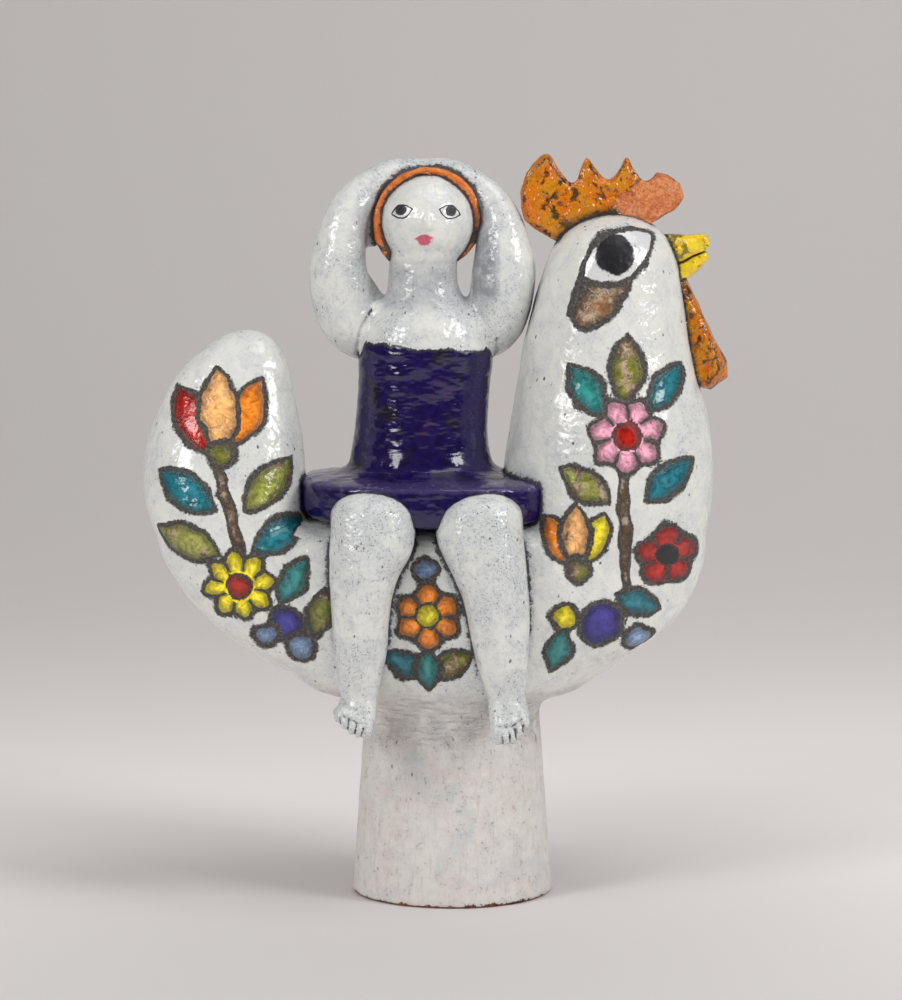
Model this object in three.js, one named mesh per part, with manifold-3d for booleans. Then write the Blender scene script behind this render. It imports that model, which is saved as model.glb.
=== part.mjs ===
// Glazed clay ornament: a rider sits side-saddle on a cockerel that stands on a tapered pedestal.
// Millimetres, +Z up. The bird faces +X and the rider faces -Y.
import * as THREE from 'three';
import { ParametricGeometry } from 'three/addons/geometries/ParametricGeometry.js';
import { mergeVertices } from 'three/addons/utils/BufferGeometryUtils.js';
import Module from 'manifold-3d';

const wasm = await Module();
wasm.setup();

// Clay and seams
const SEAM = 0.3; // gap left between two luted pieces
const WALL = 6; // wall of the hollow bird
const RIDER_WALL = 5; // wall of the hollow torso and head
const COIL_HEIGHT = 14; // band of clay pressed over a seam from inside
const COIL_THICKNESS = 4;

// Pedestal: a thrown cone, open at the foot
const PEDESTAL_HEIGHT = 101; // floor to the lowest point of the belly
const PEDESTAL_FOOT_RADIUS = 54.5;
const PEDESTAL_TOP_RADIUS = 47.5;
const PEDESTAL_WALL = 7;
const PEDESTAL_RIM = 14; // rim carried up past the belly before it is trimmed to it
const FOOT_ROUND = 2; // softened outer edge of the foot
const VENT_RADIUS = 8; // firing vent from the belly into the pedestal

// Bird: heights in the body are above the belly, in tail and neck above the saddle
const BODY_HEIGHT = 104; // belly to saddle
const SADDLE_X = -25; // middle of the seat, from the pedestal's axis
const SADDLE_GAP = 106; // seat between tail and neck
const BODY_HALF_DEPTH = 56;
const BELLY_ROUND = 14;
const SADDLE_ROUND = 13;
const BODY_FULLNESS = 2.5; // 2 is an ellipse, more is boxier
const BODY_LEVELS = [
  { up: 0, x: 9, shorter: 85, inset: 12 },
  { up: 15, x: 7.6, shorter: 73, inset: 7 },
  { up: 37, x: 7, shorter: 38.5, inset: 3 },
  { up: 49, x: 6.5, shorter: 24, inset: 1 },
  { up: 77, x: 2.5, shorter: 6.5, inset: 0 },
  { up: BODY_HEIGHT, x: 0, shorter: 0, inset: 3 },
];
const COLLAR_HEIGHT = 5; // stub of tail and neck that belongs to the body
const TAIL_INSET = 42.3; // axis of the tail inside the body's rear end
const TAIL_ROUND = 20;
const TAIL_LEVELS = [
  { up: -55, x: 21.7, wide: 26, deep: 30 },
  { up: -25, x: 6.7, wide: 37, deep: 41 },
  { up: 0, x: 0, wide: 42.7, deep: 45 },
  { up: 20, x: -2, wide: 43.2, deep: 41 },
  { up: 40, x: -1.8, wide: 41.5, deep: 35 },
  { up: 58, x: -0.1, wide: 36.4, deep: 28 },
  { up: 75, x: 2.7, wide: 30.5, deep: 22 },
  { up: 91, x: 7.5, wide: 23, deep: 16 },
  { up: 101, x: 10.7, wide: 22, deep: 14 },
];
const NECK_INSET = 55.6; // axis of the neck inside the body's front end
const HEAD_ROUND = 22;
const NECK_LEVELS = [
  { up: -55, x: -10.4, wide: 34, deep: 38 },
  { up: -25, x: -2.4, wide: 48.5, deep: 47 },
  { up: 0, x: 0, wide: 55.5, deep: 52 },
  { up: 25, x: 0.5, wide: 56.5, deep: 51 },
  { up: 50, x: 1.1, wide: 53.2, deep: 48 },
  { up: 76, x: -0.1, wide: 47.7, deep: 43 },
  { up: 98, x: -0.4, wide: 43.6, deep: 40 },
  { up: 131, x: 1.6, wide: 36.4, deep: 35 },
  { up: 149, x: 2.6, wide: 31.5, deep: 31.5 },
  { up: 163.5, x: 3.2, wide: 30, deep: 30 },
];

// Comb: a slab across the crown, from its rear end forward
const COMB_THICKNESS = 10;
const COMB_OVERHANG = 48.6; // rear end behind the middle of the head
const COMB_REAR = 15; // rear end to the first point
const COMB_PITCH = 20.5;
const COMB_POINTS = 3;
const COMB_LOBE_REACH = 9.5; // blunt front lobe past the last dip
const COMB_LOBE = 12; // half height of that lobe
const COMB_RISE = 31.5; // points above the crown
const COMB_POINT_HEIGHT = 15;
const COMB_SINK = 23.5; // slab carried down into the head before it is trimmed
const COMB_TIP = 4.5; // roundness of points and dips
const EDGE_ROUND = 1.6; // softened edge of a cut slab

// Beak and wattle: from the crown down and from the front of the head outward
const MOUTH_DROP = 21.5; // crown to mouth line
const BEAK_LENGTH = 22;
const BEAK_HALF_WIDTH = 7.5;
const UPPER_BEAK_HEIGHT = 10;
const LOWER_BEAK_HEIGHT = 10.5;
const WATTLE_THICKNESS = 15;
const WATTLE_LENGTH = 64;
const WATTLE_REACH = 24.5; // tip in front of the head
const WATTLE_FLARE = 9; // heel past the tip
const WATTLE_SINK = 16; // slab carried into the neck before it is trimmed

// Rider: heights above the saddle, places along the bird from the rider's middle
const RIDER_FORWARD = 10; // rider's middle in front of the middle of the seat
const HEAD_UP = 159; // middle of the head
const HEAD_X = 1.7;
const HEAD_HALF_WIDTH = 25;
const HEAD_HALF_HEIGHT = 27.5;
const TORSO_LEVELS = [
  { up: -8, x: -2.5, wide: 38, deep: 34 },
  { up: 23, x: -2.3, wide: 36, deep: 33 },
  { up: 45, x: -2, wide: 35, deep: 31.5 },
  { up: 70, x: -0.5, wide: 34.8, deep: 31 },
  { up: 89, x: 1, wide: 35.5, deep: 31 },
  { up: 103, x: 1, wide: 33, deep: 28 },
  { up: 113, x: 0.5, wide: 25, deep: 23 },
  { up: 121, x: 0, wide: 19, deep: 18.5 },
  { up: HEAD_UP - 26, x: 0, wide: 17.5, deep: 17 },
  { up: HEAD_UP - 17, x: 0.5, wide: 17, deep: 16.5 },
];
const SKIRT_TOP = 20;
const SKIRT_DROP = 20; // hem below the brim
const SKIRT_TAIL_LAP = 4; // carried into the tail before it is trimmed
const SKIRT_NECK_LAP = 28;
const SKIRT_OVERHANG = 6; // in front of the widest belly
const SKIRT_ROUND = 12;
const SKIRT_FULLNESS = 2.6;
const HAIR_THICKNESS = 3.6;
const HAIR_LINE = -3; // front edge of the hair, behind the face
const HAIR_DROP = 23; // lower end of the hair below the middle of the head
const NOSE_HALF_WIDTH = 2.6;
const NOSE_HALF_HEIGHT = 5;
const NOSE_DROP = 2; // below the middle of the head
const ARM_X = -1;
const ARM_PATH = [
  { side: 12, y: 0, up: 99, radius: 14 },
  { side: 29, y: -2, up: 101, radius: 15 },
  { side: 42.5, y: -3, up: 112, radius: 15.7 },
  { side: 45, y: -3, up: HEAD_UP - 27, radius: 15.5 },
  { side: 41.8, y: -1, up: HEAD_UP - 4, radius: 13.8 },
  { side: 31.5, y: 4, up: HEAD_UP + 14, radius: 11.5 },
  { side: 15, y: 12, up: HEAD_UP + 27, radius: 9.5 },
];
const HAND_HALF_LENGTH = 13;
const HAND_HALF_THICKNESS = 7;
const HAND_HALF_HEIGHT = 8.5;
const HAND_SIDE = 13;
const HAND_SINK = 6.6; // hand's middle inside the back of the hair
const HAND_DROP = 1.5; // hand's middle below the top of the head

// Legs and feet: drops below the saddle, stand-off in front of the widest belly
const LEG_ROUND = 20;
const LEG_LEVELS = [
  { drop: 96, out: 1, wide: 10.5, deep: 11 },
  { drop: 84, out: 3.5, wide: 12.5, deep: 12.5 },
  { drop: 55, out: 4, wide: 14.5, deep: 15 },
  { drop: 23, out: 2, wide: 17.3, deep: 18 },
  { drop: 3, out: -2, wide: 20, deep: 20.5 },
  { drop: -16, out: -5, wide: 20, deep: 20 },
];
const KNEE_SPREAD = { right: -26, left: 29 }; // knee middle from the rider's
const ANKLE_SPREAD = { right: -34.5, left: 44.5 };
const ANKLE_TO_FOOT = 2; // middle of the heel below the end of the leg
const FOOT_LENGTH = 29;
const FOOT_FALL = 9; // toes below the heel
const FOOT_TURN = { right: -5, left: 1 }; // toes beside the heel
const FOOT_HALF_WIDTH = 11.5;
const FOOT_HALF_HEIGHT = 7.5;
const TOES = 5;
const TOE_CUT = 1; // width of the cut between two toes
const TOE_LENGTH = 8;

const SADDLE = PEDESTAL_HEIGHT + BODY_HEIGHT;
const [tailRoot, neckRoot] = [TAIL_LEVELS, NECK_LEVELS].map((levels) => levels.find((s) => s.up === 0));
const TAIL_X = SADDLE_X - SADDLE_GAP / 2 - tailRoot.wide;
const NECK_X = SADDLE_X + SADDLE_GAP / 2 + neckRoot.wide;
const BODY_REAR = TAIL_X - TAIL_INSET;
const BODY_FRONT = NECK_X + NECK_INSET;
const RIDER_X = SADDLE_X + RIDER_FORWARD;
const CAP_RINGS = 3;
const PEDESTAL_FACETS = 36;
const FAR = 1000;
const X_AXIS = new THREE.Vector3(1, 0, 0);
const Y_AXIS = new THREE.Vector3(0, 1, 0);

// A closed solid from a geometry, with doubled points and empty triangles taken out.
function solid(geometry) {
  const bare = geometry.clone();
  bare.deleteAttribute('normal');
  bare.deleteAttribute('uv');
  const merged = mergeVertices(bare, 1e-4);
  const corners = [];
  for (let i = 0; i < merged.index.count; i += 3) {
    const [a, b, c] = [0, 1, 2].map((k) => merged.index.getX(i + k));
    if (a !== b && b !== c && c !== a) corners.push(a, b, c);
  }
  const mesh = new wasm.Mesh({
    numProp: 3,
    vertProperties: new Float32Array(merged.attributes.position.array),
    triVerts: new Uint32Array(corners),
  });
  return new wasm.Manifold(mesh);
}

function box(x, y, z, width, depth, height) {
  const geometry = new THREE.BoxGeometry(width, depth, height);
  return solid(geometry.translate(x, y, z));
}

// Everything above, below, in front of or behind a plane.
const above = (z) => box(0, 0, z + FAR / 2, FAR, FAR, FAR);
const below = (z) => box(0, 0, z - FAR / 2, FAR, FAR, FAR);
const behind = (y) => box(0, y + FAR / 2, 0, FAR, FAR, FAR);

function ball(x, y, z, halfWidth, halfDepth, halfHeight, segments = 24) {
  const geometry = new THREE.SphereGeometry(1, segments, segments / 2);
  geometry.rotateX(Math.PI / 2).scale(halfWidth, halfDepth, halfHeight);
  return solid(geometry.translate(x, y, z));
}

// Ring places along a length: an end is either round over `cap` or flat.
function ringPlan(length, capStart, capEnd, rings) {
  const plan = [];
  const capRings = (cap) => (cap > 0 ? CAP_RINGS : 1);
  for (let i = 0; i < capRings(capStart); i++) {
    const turn = ((i / CAP_RINGS) * Math.PI) / 2;
    plan.push({ at: capStart * (1 - Math.cos(turn)), share: Math.sin(turn) });
  }
  for (let i = 0; i <= rings; i++) {
    plan.push({ at: capStart + ((length - capStart - capEnd) * i) / rings, share: 1 });
  }
  for (let i = capRings(capEnd) - 1; i >= 0; i--) {
    const turn = ((i / CAP_RINGS) * Math.PI) / 2;
    plan.push({ at: length - capEnd * (1 - Math.cos(turn)), share: Math.sin(turn) });
  }
  return plan;
}

const rounded = (value, fullness) => Math.sign(value) * Math.abs(value) ** (2 / fullness);

// A skin over rings along a smooth spine. Each station gives a place and two half sizes.
// With no side the rings lie level; with a side they stand across the spine and `deep` runs along the side.
function loft(stations, { side, capStart = 0, capEnd = 0, fullness = 2, rings = 8, segments = 24 }) {
  const spine = new THREE.CatmullRomCurve3(stations.map((s) => new THREE.Vector3(s.x, s.y, s.z)));
  const sizes = new THREE.CatmullRomCurve3(stations.map((s) => new THREE.Vector3(s.wide, s.deep, 0)));
  const length = spine.getLength();
  const frames = ringPlan(length, capStart, capEnd, rings).map(({ at, share }) => {
    const t = spine.getUtoTmapping(at / length);
    const middle = spine.getPoint(t);
    const size = sizes.getPoint(t).multiplyScalar(share);
    const across = side ? side.clone().cross(spine.getTangent(t)).normalize() : X_AXIS;
    return { middle, size, across, along: side ?? Y_AXIS };
  });
  const skin = (u, v, point) => {
    const { middle, size, across, along } = frames[Math.round(v * (frames.length - 1))];
    const turn = 2 * Math.PI * u;
    point.copy(middle);
    point.addScaledVector(across, size.x * rounded(Math.cos(turn), fullness));
    point.addScaledVector(along, size.y * rounded(Math.sin(turn), fullness));
  };
  return solid(new ParametricGeometry(skin, segments, frames.length - 1));
}

// The same stations grown (or, below zero, shrunk) all round.
function grown(stations, by) {
  return stations.map((s, i) => {
    const end = i === 0 ? -1 : Number(i === stations.length - 1);
    return { ...s, z: s.z + end * by, wide: s.wide + by, deep: s.deep + by };
  });
}

// Bird forms, each as a plain skin that can be grown or shrunk.
function bodyForm(by = 0) {
  const stations = BODY_LEVELS.map((s) => {
    const x = (BODY_REAR + BODY_FRONT) / 2 + s.x;
    const wide = (BODY_FRONT - BODY_REAR) / 2 - s.shorter;
    return { x, y: 0, z: PEDESTAL_HEIGHT + s.up, wide, deep: BODY_HALF_DEPTH - s.inset };
  });
  const shape = { capStart: BELLY_ROUND, capEnd: SADDLE_ROUND, fullness: BODY_FULLNESS };
  return loft(grown(stations, by), { ...shape, rings: 5, segments: by < 0 ? 20 : 32 });
}

function uprightForm(axis, levels, capEnd, by) {
  const stations = levels.map((s) => ({ ...s, x: axis + s.x, y: 0, z: SADDLE + s.up }));
  return loft(grown(stations, by), { capEnd, rings: 8, segments: by < 0 ? 16 : 24 });
}

const tailForm = (by = 0) => uprightForm(TAIL_X, TAIL_LEVELS, TAIL_ROUND, by);
const neckForm = (by = 0) => uprightForm(NECK_X, NECK_LEVELS, HEAD_ROUND, by);
const birdForm = (by = 0) => bodyForm(by).add(tailForm(by)).add(neckForm(by));

const birdOutside = birdForm(SEAM);

function pedestalRadius(z) {
  const share = z / PEDESTAL_HEIGHT;
  return PEDESTAL_FOOT_RADIUS + (PEDESTAL_TOP_RADIUS - PEDESTAL_FOOT_RADIUS) * share;
}

function pedestal() {
  const rim = PEDESTAL_HEIGHT + PEDESTAL_RIM;
  const profile = [
    new THREE.Vector2(pedestalRadius(0) - PEDESTAL_WALL, 0),
    new THREE.Vector2(pedestalRadius(0) - FOOT_ROUND, 0),
    new THREE.Vector2(pedestalRadius(FOOT_ROUND), FOOT_ROUND),
    new THREE.Vector2(pedestalRadius(rim), rim),
    new THREE.Vector2(pedestalRadius(rim) - PEDESTAL_WALL, rim),
    new THREE.Vector2(pedestalRadius(0) - PEDESTAL_WALL, 0),
  ];
  const cone = solid(new THREE.LatheGeometry(profile, PEDESTAL_FACETS).rotateX(Math.PI / 2));
  return cone.subtract(birdOutside);
}

function pedestalCoil() {
  const low = PEDESTAL_HEIGHT - COIL_THICKNESS;
  const outer = pedestalRadius(low + COIL_HEIGHT) - PEDESTAL_WALL - SEAM;
  const inner = outer - COIL_THICKNESS * 2;
  const profile = [
    new THREE.Vector2(outer, low),
    new THREE.Vector2(outer, low + COIL_HEIGHT),
    new THREE.Vector2(inner, low + COIL_HEIGHT),
    new THREE.Vector2(outer, low),
  ];
  const ring = solid(new THREE.LatheGeometry(profile, PEDESTAL_FACETS).rotateX(Math.PI / 2));
  return ring.subtract(birdOutside);
}

// The three hollow bird pieces share one skin, parted by the level plane of the collars.
function birdPieces() {
  const shell = birdForm().subtract(birdForm(-WALL));
  const collar = SADDLE + COLLAR_HEIGHT;
  const vent = new THREE.CylinderGeometry(VENT_RADIUS, VENT_RADIUS, 4 * WALL, 20);
  const ventHole = solid(vent.rotateX(Math.PI / 2).translate(0, 0, PEDESTAL_HEIGHT));
  const upper = shell.intersect(above(collar + SEAM));
  const middle = RIDER_X;
  const front = box(middle + FAR / 2, 0, collar, FAR, FAR, FAR);
  return {
    body: shell.intersect(below(collar)).subtract(ventHole),
    tail: upper.subtract(front),
    neck: upper.intersect(front),
  };
}

function seamCoil(form) {
  const collar = SADDLE + COLLAR_HEIGHT;
  const band = form(-WALL - SEAM).subtract(form(-WALL - SEAM - COIL_THICKNESS));
  return band.intersect(box(0, 0, collar, FAR, FAR, COIL_HEIGHT));
}

// A slab cut from an outline in the XZ plane, centred on the bird's middle plane.
function slab(outline, thickness) {
  const geometry = new THREE.ExtrudeGeometry(outline, {
    depth: thickness - 2 * EDGE_ROUND,
    bevelThickness: EDGE_ROUND,
    bevelSize: EDGE_ROUND,
    bevelOffset: -EDGE_ROUND,
    bevelSegments: 1,
    curveSegments: 5,
  });
  geometry.translate(0, 0, EDGE_ROUND - thickness / 2);
  return solid(geometry.rotateX(Math.PI / 2));
}

const [brow, crown] = NECK_LEVELS.slice(-2);
const headMiddle = NECK_X + crown.x;
const headFront = NECK_X + brow.x + brow.wide;

function comb() {
  const top = SADDLE + crown.up + COMB_RISE;
  const dip = top - COMB_POINT_HEIGHT;
  const foot = SADDLE + crown.up - COMB_SINK;
  const back = headMiddle - COMB_OVERHANG;
  const first = back + COMB_REAR;
  const front = first + COMB_POINTS * COMB_PITCH + COMB_LOBE_REACH;
  const outline = new THREE.Shape();
  outline.moveTo(back + COMB_PITCH, foot);
  outline.quadraticCurveTo(back, foot + COMB_LOBE, back, dip - COMB_LOBE);
  outline.bezierCurveTo(back, dip, first - COMB_TIP, top, first, top);
  for (let i = 0; i < COMB_POINTS; i++) {
    const point = first + i * COMB_PITCH;
    const low = point + COMB_PITCH / 2;
    const next = point + COMB_PITCH;
    const nextTop = i < COMB_POINTS - 1 ? top : dip + COMB_LOBE / 3;
    outline.bezierCurveTo(point + COMB_TIP, top, low - COMB_TIP, dip, low, dip);
    outline.bezierCurveTo(low + COMB_TIP, dip, next - COMB_TIP, nextTop, next, nextTop);
  }
  const lobe = dip - COMB_LOBE;
  outline.quadraticCurveTo(front, dip + COMB_LOBE / 3, front, lobe);
  outline.quadraticCurveTo(front, lobe - COMB_LOBE, front - COMB_PITCH, lobe - COMB_LOBE);
  outline.lineTo(front - COMB_PITCH, foot);
  outline.closePath();
  return slab(outline, COMB_THICKNESS).subtract(birdOutside).subtract(armForm(1, SEAM));
}

const mouth = SADDLE + crown.up - MOUTH_DROP;

// Half of the beak: a blunt cone laid along X, its flat side on the mouth line.
function beakHalf(height, upward) {
  const tip = headFront + BEAK_LENGTH;
  const z = mouth + (upward ? 1 : -1) * height * 0.1;
  const stations = [
    { x: headMiddle, y: 0, z, wide: height, deep: BEAK_HALF_WIDTH * 1.4 },
    { x: (headMiddle + tip) / 2, y: 0, z, wide: height, deep: BEAK_HALF_WIDTH * 1.2 },
    { x: tip - BEAK_HALF_WIDTH, y: 0, z, wide: height * 0.85, deep: BEAK_HALF_WIDTH * 0.7 },
    { x: tip, y: 0, z, wide: height * 0.6, deep: BEAK_HALF_WIDTH * 0.4 },
  ];
  const cone = loft(stations, { side: Y_AXIS, capEnd: BEAK_HALF_WIDTH / 2, segments: 16, rings: 5 });
  const kept = upward ? above(mouth + SEAM / 2) : below(mouth - SEAM / 2);
  return cone.intersect(kept).subtract(birdOutside);
}

// A slab that hangs from under the lower beak down the front of the neck.
function wattle() {
  const top = mouth - LOWER_BEAK_HEIGHT * 1.1 - SEAM;
  const low = top - WATTLE_LENGTH;
  const tip = headFront + WATTLE_REACH;
  const heel = tip + WATTLE_FLARE;
  const outline = new THREE.Shape();
  outline.moveTo(headFront - WATTLE_SINK, top);
  outline.lineTo(headFront + WATTLE_THICKNESS / 2, top);
  outline.quadraticCurveTo(headFront + WATTLE_THICKNESS, top - WATTLE_LENGTH / 3, heel, low + WATTLE_FLARE);
  outline.quadraticCurveTo(heel, low, tip, low);
  outline.lineTo(headFront - WATTLE_SINK, low);
  outline.closePath();
  return slab(outline, WATTLE_THICKNESS).subtract(birdOutside);
}

// Rider
function torsoForm(by = 0) {
  const stations = TORSO_LEVELS.map((s) => {
    return { x: RIDER_X + s.x, y: 0, z: SADDLE + s.up, wide: s.wide, deep: s.deep };
  });
  return loft(grown(stations, by), { rings: by < 0 ? 8 : 11, segments: by < 0 ? 12 : 24 });
}

const torsoOutside = torsoForm(SEAM);

function torso() {
  const bore = torsoForm(-RIDER_WALL).add(box(RIDER_X, 0, SADDLE, WALL, WALL, BODY_HEIGHT / 2));
  return torsoForm().subtract(bore).subtract(birdOutside);
}

function headForm(by = 0) {
  const wide = HEAD_HALF_WIDTH + by;
  return ball(RIDER_X + HEAD_X, 0, SADDLE + HEAD_UP, wide, wide, HEAD_HALF_HEIGHT + by, by < 0 ? 12 : 20);
}

const headOutside = headForm(SEAM);

function hairForm(by = 0) {
  const wide = HEAD_HALF_WIDTH + HAIR_THICKNESS + by;
  const high = HEAD_HALF_HEIGHT + HAIR_THICKNESS + by;
  const whole = ball(RIDER_X + HEAD_X, 0, SADDLE + HEAD_UP, wide, wide, high, 20);
  return whole.intersect(behind(HAIR_LINE - by)).intersect(above(SADDLE + HEAD_UP - HAIR_DROP - by));
}

const hairOutside = hairForm(SEAM);

const head = () => headForm().subtract(headForm(-RIDER_WALL)).subtract(torsoOutside);
const hair = () => hairForm().subtract(headOutside).subtract(torsoOutside);

function nose() {
  const pellet = ball(
    RIDER_X + HEAD_X,
    -HEAD_HALF_WIDTH,
    SADDLE + HEAD_UP - NOSE_DROP,
    NOSE_HALF_WIDTH,
    NOSE_HALF_WIDTH,
    NOSE_HALF_HEIGHT,
    8,
  );
  return pellet.subtract(headOutside);
}

const handHeight = SADDLE + HEAD_UP + HEAD_HALF_HEIGHT - HAND_DROP;

function handForm(hand, by = 0) {
  const half = HAND_HALF_LENGTH + by;
  const x = RIDER_X + HEAD_X + hand * HAND_SIDE;
  const back = HEAD_HALF_WIDTH + HAIR_THICKNESS - HAND_SINK;
  return ball(x, back, handHeight, half, HAND_HALF_THICKNESS + by, HAND_HALF_HEIGHT + by, 12);
}

// `hand` is -1 for the rider's right and 1 for the rider's left.
function hand(hand) {
  const middle = RIDER_X + HEAD_X;
  const half = box(middle + (hand * (FAR + SEAM)) / 2, 0, handHeight, FAR, FAR, FAR);
  return handForm(hand).intersect(half).subtract(hairOutside).subtract(headOutside);
}

function armForm(hand, by = 0) {
  const stations = ARM_PATH.map((s) => {
    const radius = s.radius + by;
    return { x: RIDER_X + ARM_X + hand * s.side, y: s.y, z: SADDLE + s.up, wide: radius, deep: radius };
  });
  return loft(stations, { side: Y_AXIS, capEnd: ARM_PATH.at(-1).radius, rings: 10, segments: 14 });
}

function arm(hand) {
  const neighbours = [torsoOutside, headOutside, hairOutside, handForm(hand, SEAM), birdOutside];
  return neighbours.reduce((rest, other) => rest.subtract(other), armForm(hand));
}

function legForm(name, by = 0) {
  const knee = RIDER_X + KNEE_SPREAD[name];
  const ankle = RIDER_X + ANKLE_SPREAD[name];
  const [low, high] = [LEG_LEVELS[0].drop, LEG_LEVELS.at(-1).drop];
  const stations = LEG_LEVELS.map((s) => {
    const share = (s.drop - high) / (low - high);
    const y = -BODY_HALF_DEPTH - s.out;
    return { x: knee + (ankle - knee) * share ** 0.7, y, z: SADDLE - s.drop, wide: s.wide, deep: s.deep };
  });
  return loft(grown(stations, by), { capEnd: LEG_ROUND, rings: 7, segments: 16 });
}

function pedestalOutside() {
  const rim = PEDESTAL_HEIGHT + PEDESTAL_RIM;
  const profile = [
    new THREE.Vector2(0, 0),
    new THREE.Vector2(pedestalRadius(0) + SEAM, 0),
    new THREE.Vector2(pedestalRadius(rim) + SEAM, rim),
    new THREE.Vector2(0, rim),
  ];
  return solid(new THREE.LatheGeometry(profile, PEDESTAL_FACETS).rotateX(Math.PI / 2));
}

const footHeight = SADDLE - LEG_LEVELS[0].drop - ANKLE_TO_FOOT;

function footForm(name, by = 0) {
  const x = RIDER_X + ANKLE_SPREAD[name];
  const heel = -BODY_HALF_DEPTH + FOOT_LENGTH / 3;
  const z = footHeight;
  const turn = FOOT_TURN[name];
  const instep = { x: x + turn / 2, y: heel - FOOT_LENGTH / 2, z: z - FOOT_FALL / 4 };
  const toes = { x: x + turn, y: heel - FOOT_LENGTH, z: z - FOOT_FALL };
  const stations = [
    { x, y: heel, z, wide: FOOT_HALF_HEIGHT, deep: FOOT_HALF_WIDTH * 0.75 },
    { ...instep, wide: FOOT_HALF_HEIGHT, deep: FOOT_HALF_WIDTH * 0.9 },
    { ...toes, wide: FOOT_HALF_HEIGHT * 0.6, deep: FOOT_HALF_WIDTH },
  ];
  const ends = { capStart: FOOT_HALF_HEIGHT, capEnd: FOOT_HALF_HEIGHT / 2 };
  return loft(grown(stations, by), { side: X_AXIS, ...ends, segments: 14, rings: 3 });
}

function foot(name) {
  let wedge = footForm(name).subtract(legForm(name, SEAM)).subtract(birdOutside).subtract(pedestalOutside());
  const pitch = (2 * FOOT_HALF_WIDTH) / TOES;
  const tip = -BODY_HALF_DEPTH - (FOOT_LENGTH * 2) / 3;
  for (let i = 1; i < TOES; i++) {
    const x = RIDER_X + ANKLE_SPREAD[name] + FOOT_TURN[name] - FOOT_HALF_WIDTH + i * pitch;
    const cut = box(x, tip, footHeight, TOE_CUT, 2 * TOE_LENGTH, 4 * FOOT_FALL);
    wedge = wedge.subtract(cut);
  }
  return wedge;
}

const leg = (name) => legForm(name).subtract(birdOutside).subtract(pedestalOutside());

function skirt() {
  const z = SADDLE + SKIRT_TOP;
  const back = SADDLE_X - SADDLE_GAP / 2 - SKIRT_TAIL_LAP;
  const front = SADDLE_X + SADDLE_GAP / 2 + SKIRT_NECK_LAP;
  const deep = BODY_HALF_DEPTH + SKIRT_OVERHANG;
  const size = { x: (back + front) / 2, y: 0, wide: (front - back) / 2, deep };
  const stations = [
    { ...size, z: z - SKIRT_DROP },
    { ...size, z: z - SKIRT_DROP / 2 },
    { ...size, z },
  ];
  const shape = { capEnd: SKIRT_ROUND, fullness: SKIRT_FULLNESS, rings: 2, segments: 28 };
  let brim = loft(stations, shape).subtract(birdOutside).subtract(torsoOutside);
  for (const name of ['right', 'left']) {
    brim = brim.subtract(legForm(name, SEAM));
  }
  return brim;
}

const GLAZE = {
  white: { color: 0xe4e6e4, roughness: 0.25 },
  violet: { color: 0x2f2468, roughness: 0.2 },
  orange: { color: 0xd97a18, roughness: 0.3 },
  yellow: { color: 0xe0cc38, roughness: 0.3 },
  hair: { color: 0xd9772f, roughness: 0.35 },
  clay: { color: 0xa8593c, roughness: 0.9 },
};

function mesh(name, shape, glaze) {
  const { vertProperties, triVerts } = shape.getMesh();
  const geometry = new THREE.BufferGeometry();
  geometry.setAttribute('position', new THREE.BufferAttribute(new Float32Array(vertProperties), 3));
  geometry.setIndex(new THREE.BufferAttribute(new Uint32Array(triVerts), 1));
  geometry.computeVertexNormals();
  const made = new THREE.Mesh(geometry, new THREE.MeshStandardMaterial({ ...GLAZE[glaze], metalness: 0 }));
  made.name = name;
  return made;
}

const bird = birdPieces();

const figure = new THREE.Group();
figure.name = 'rider_figure';
figure.add(
  mesh('pedestal', pedestal(), 'white'),
  mesh('pedestal_joint_coil', pedestalCoil(), 'clay'),
  mesh('bird_body', bird.body, 'white'),
  mesh('bird_tail', bird.tail, 'white'),
  mesh('bird_neck', bird.neck, 'white'),
  mesh('tail_joint_coil', seamCoil(tailForm), 'clay'),
  mesh('neck_joint_coil', seamCoil(neckForm), 'clay'),
  mesh('comb', comb(), 'orange'),
  mesh('upper_beak', beakHalf(UPPER_BEAK_HEIGHT, true), 'yellow'),
  mesh('lower_beak', beakHalf(LOWER_BEAK_HEIGHT, false), 'yellow'),
  mesh('wattle', wattle(), 'orange'),
  mesh('rider_skirt', skirt(), 'violet'),
  mesh('rider_torso', torso(), 'violet'),
  mesh('rider_head', head(), 'white'),
  mesh('rider_hair', hair(), 'hair'),
  mesh('rider_nose', nose(), 'white'),
  mesh('right_arm', arm(-1), 'white'),
  mesh('left_arm', arm(1), 'white'),
  mesh('right_hand', hand(-1), 'white'),
  mesh('left_hand', hand(1), 'white'),
  mesh('right_leg', leg('right'), 'white'),
  mesh('left_leg', leg('left'), 'white'),
  mesh('right_foot', foot('right'), 'white'),
  mesh('left_foot', foot('left'), 'white'),
);

// The origin is the middle of the footprint box, on the floor.
const bounds = new THREE.Box3().setFromObject(figure);
const middle = bounds.getCenter(new THREE.Vector3());
figure.position.set(-middle.x, -middle.y, -bounds.min.z);

export default figure;
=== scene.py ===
import math

import bmesh
import bpy
import numpy as np
from mathutils import Matrix, Vector, noise
from mathutils.bvhtree import BVHTree


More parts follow.
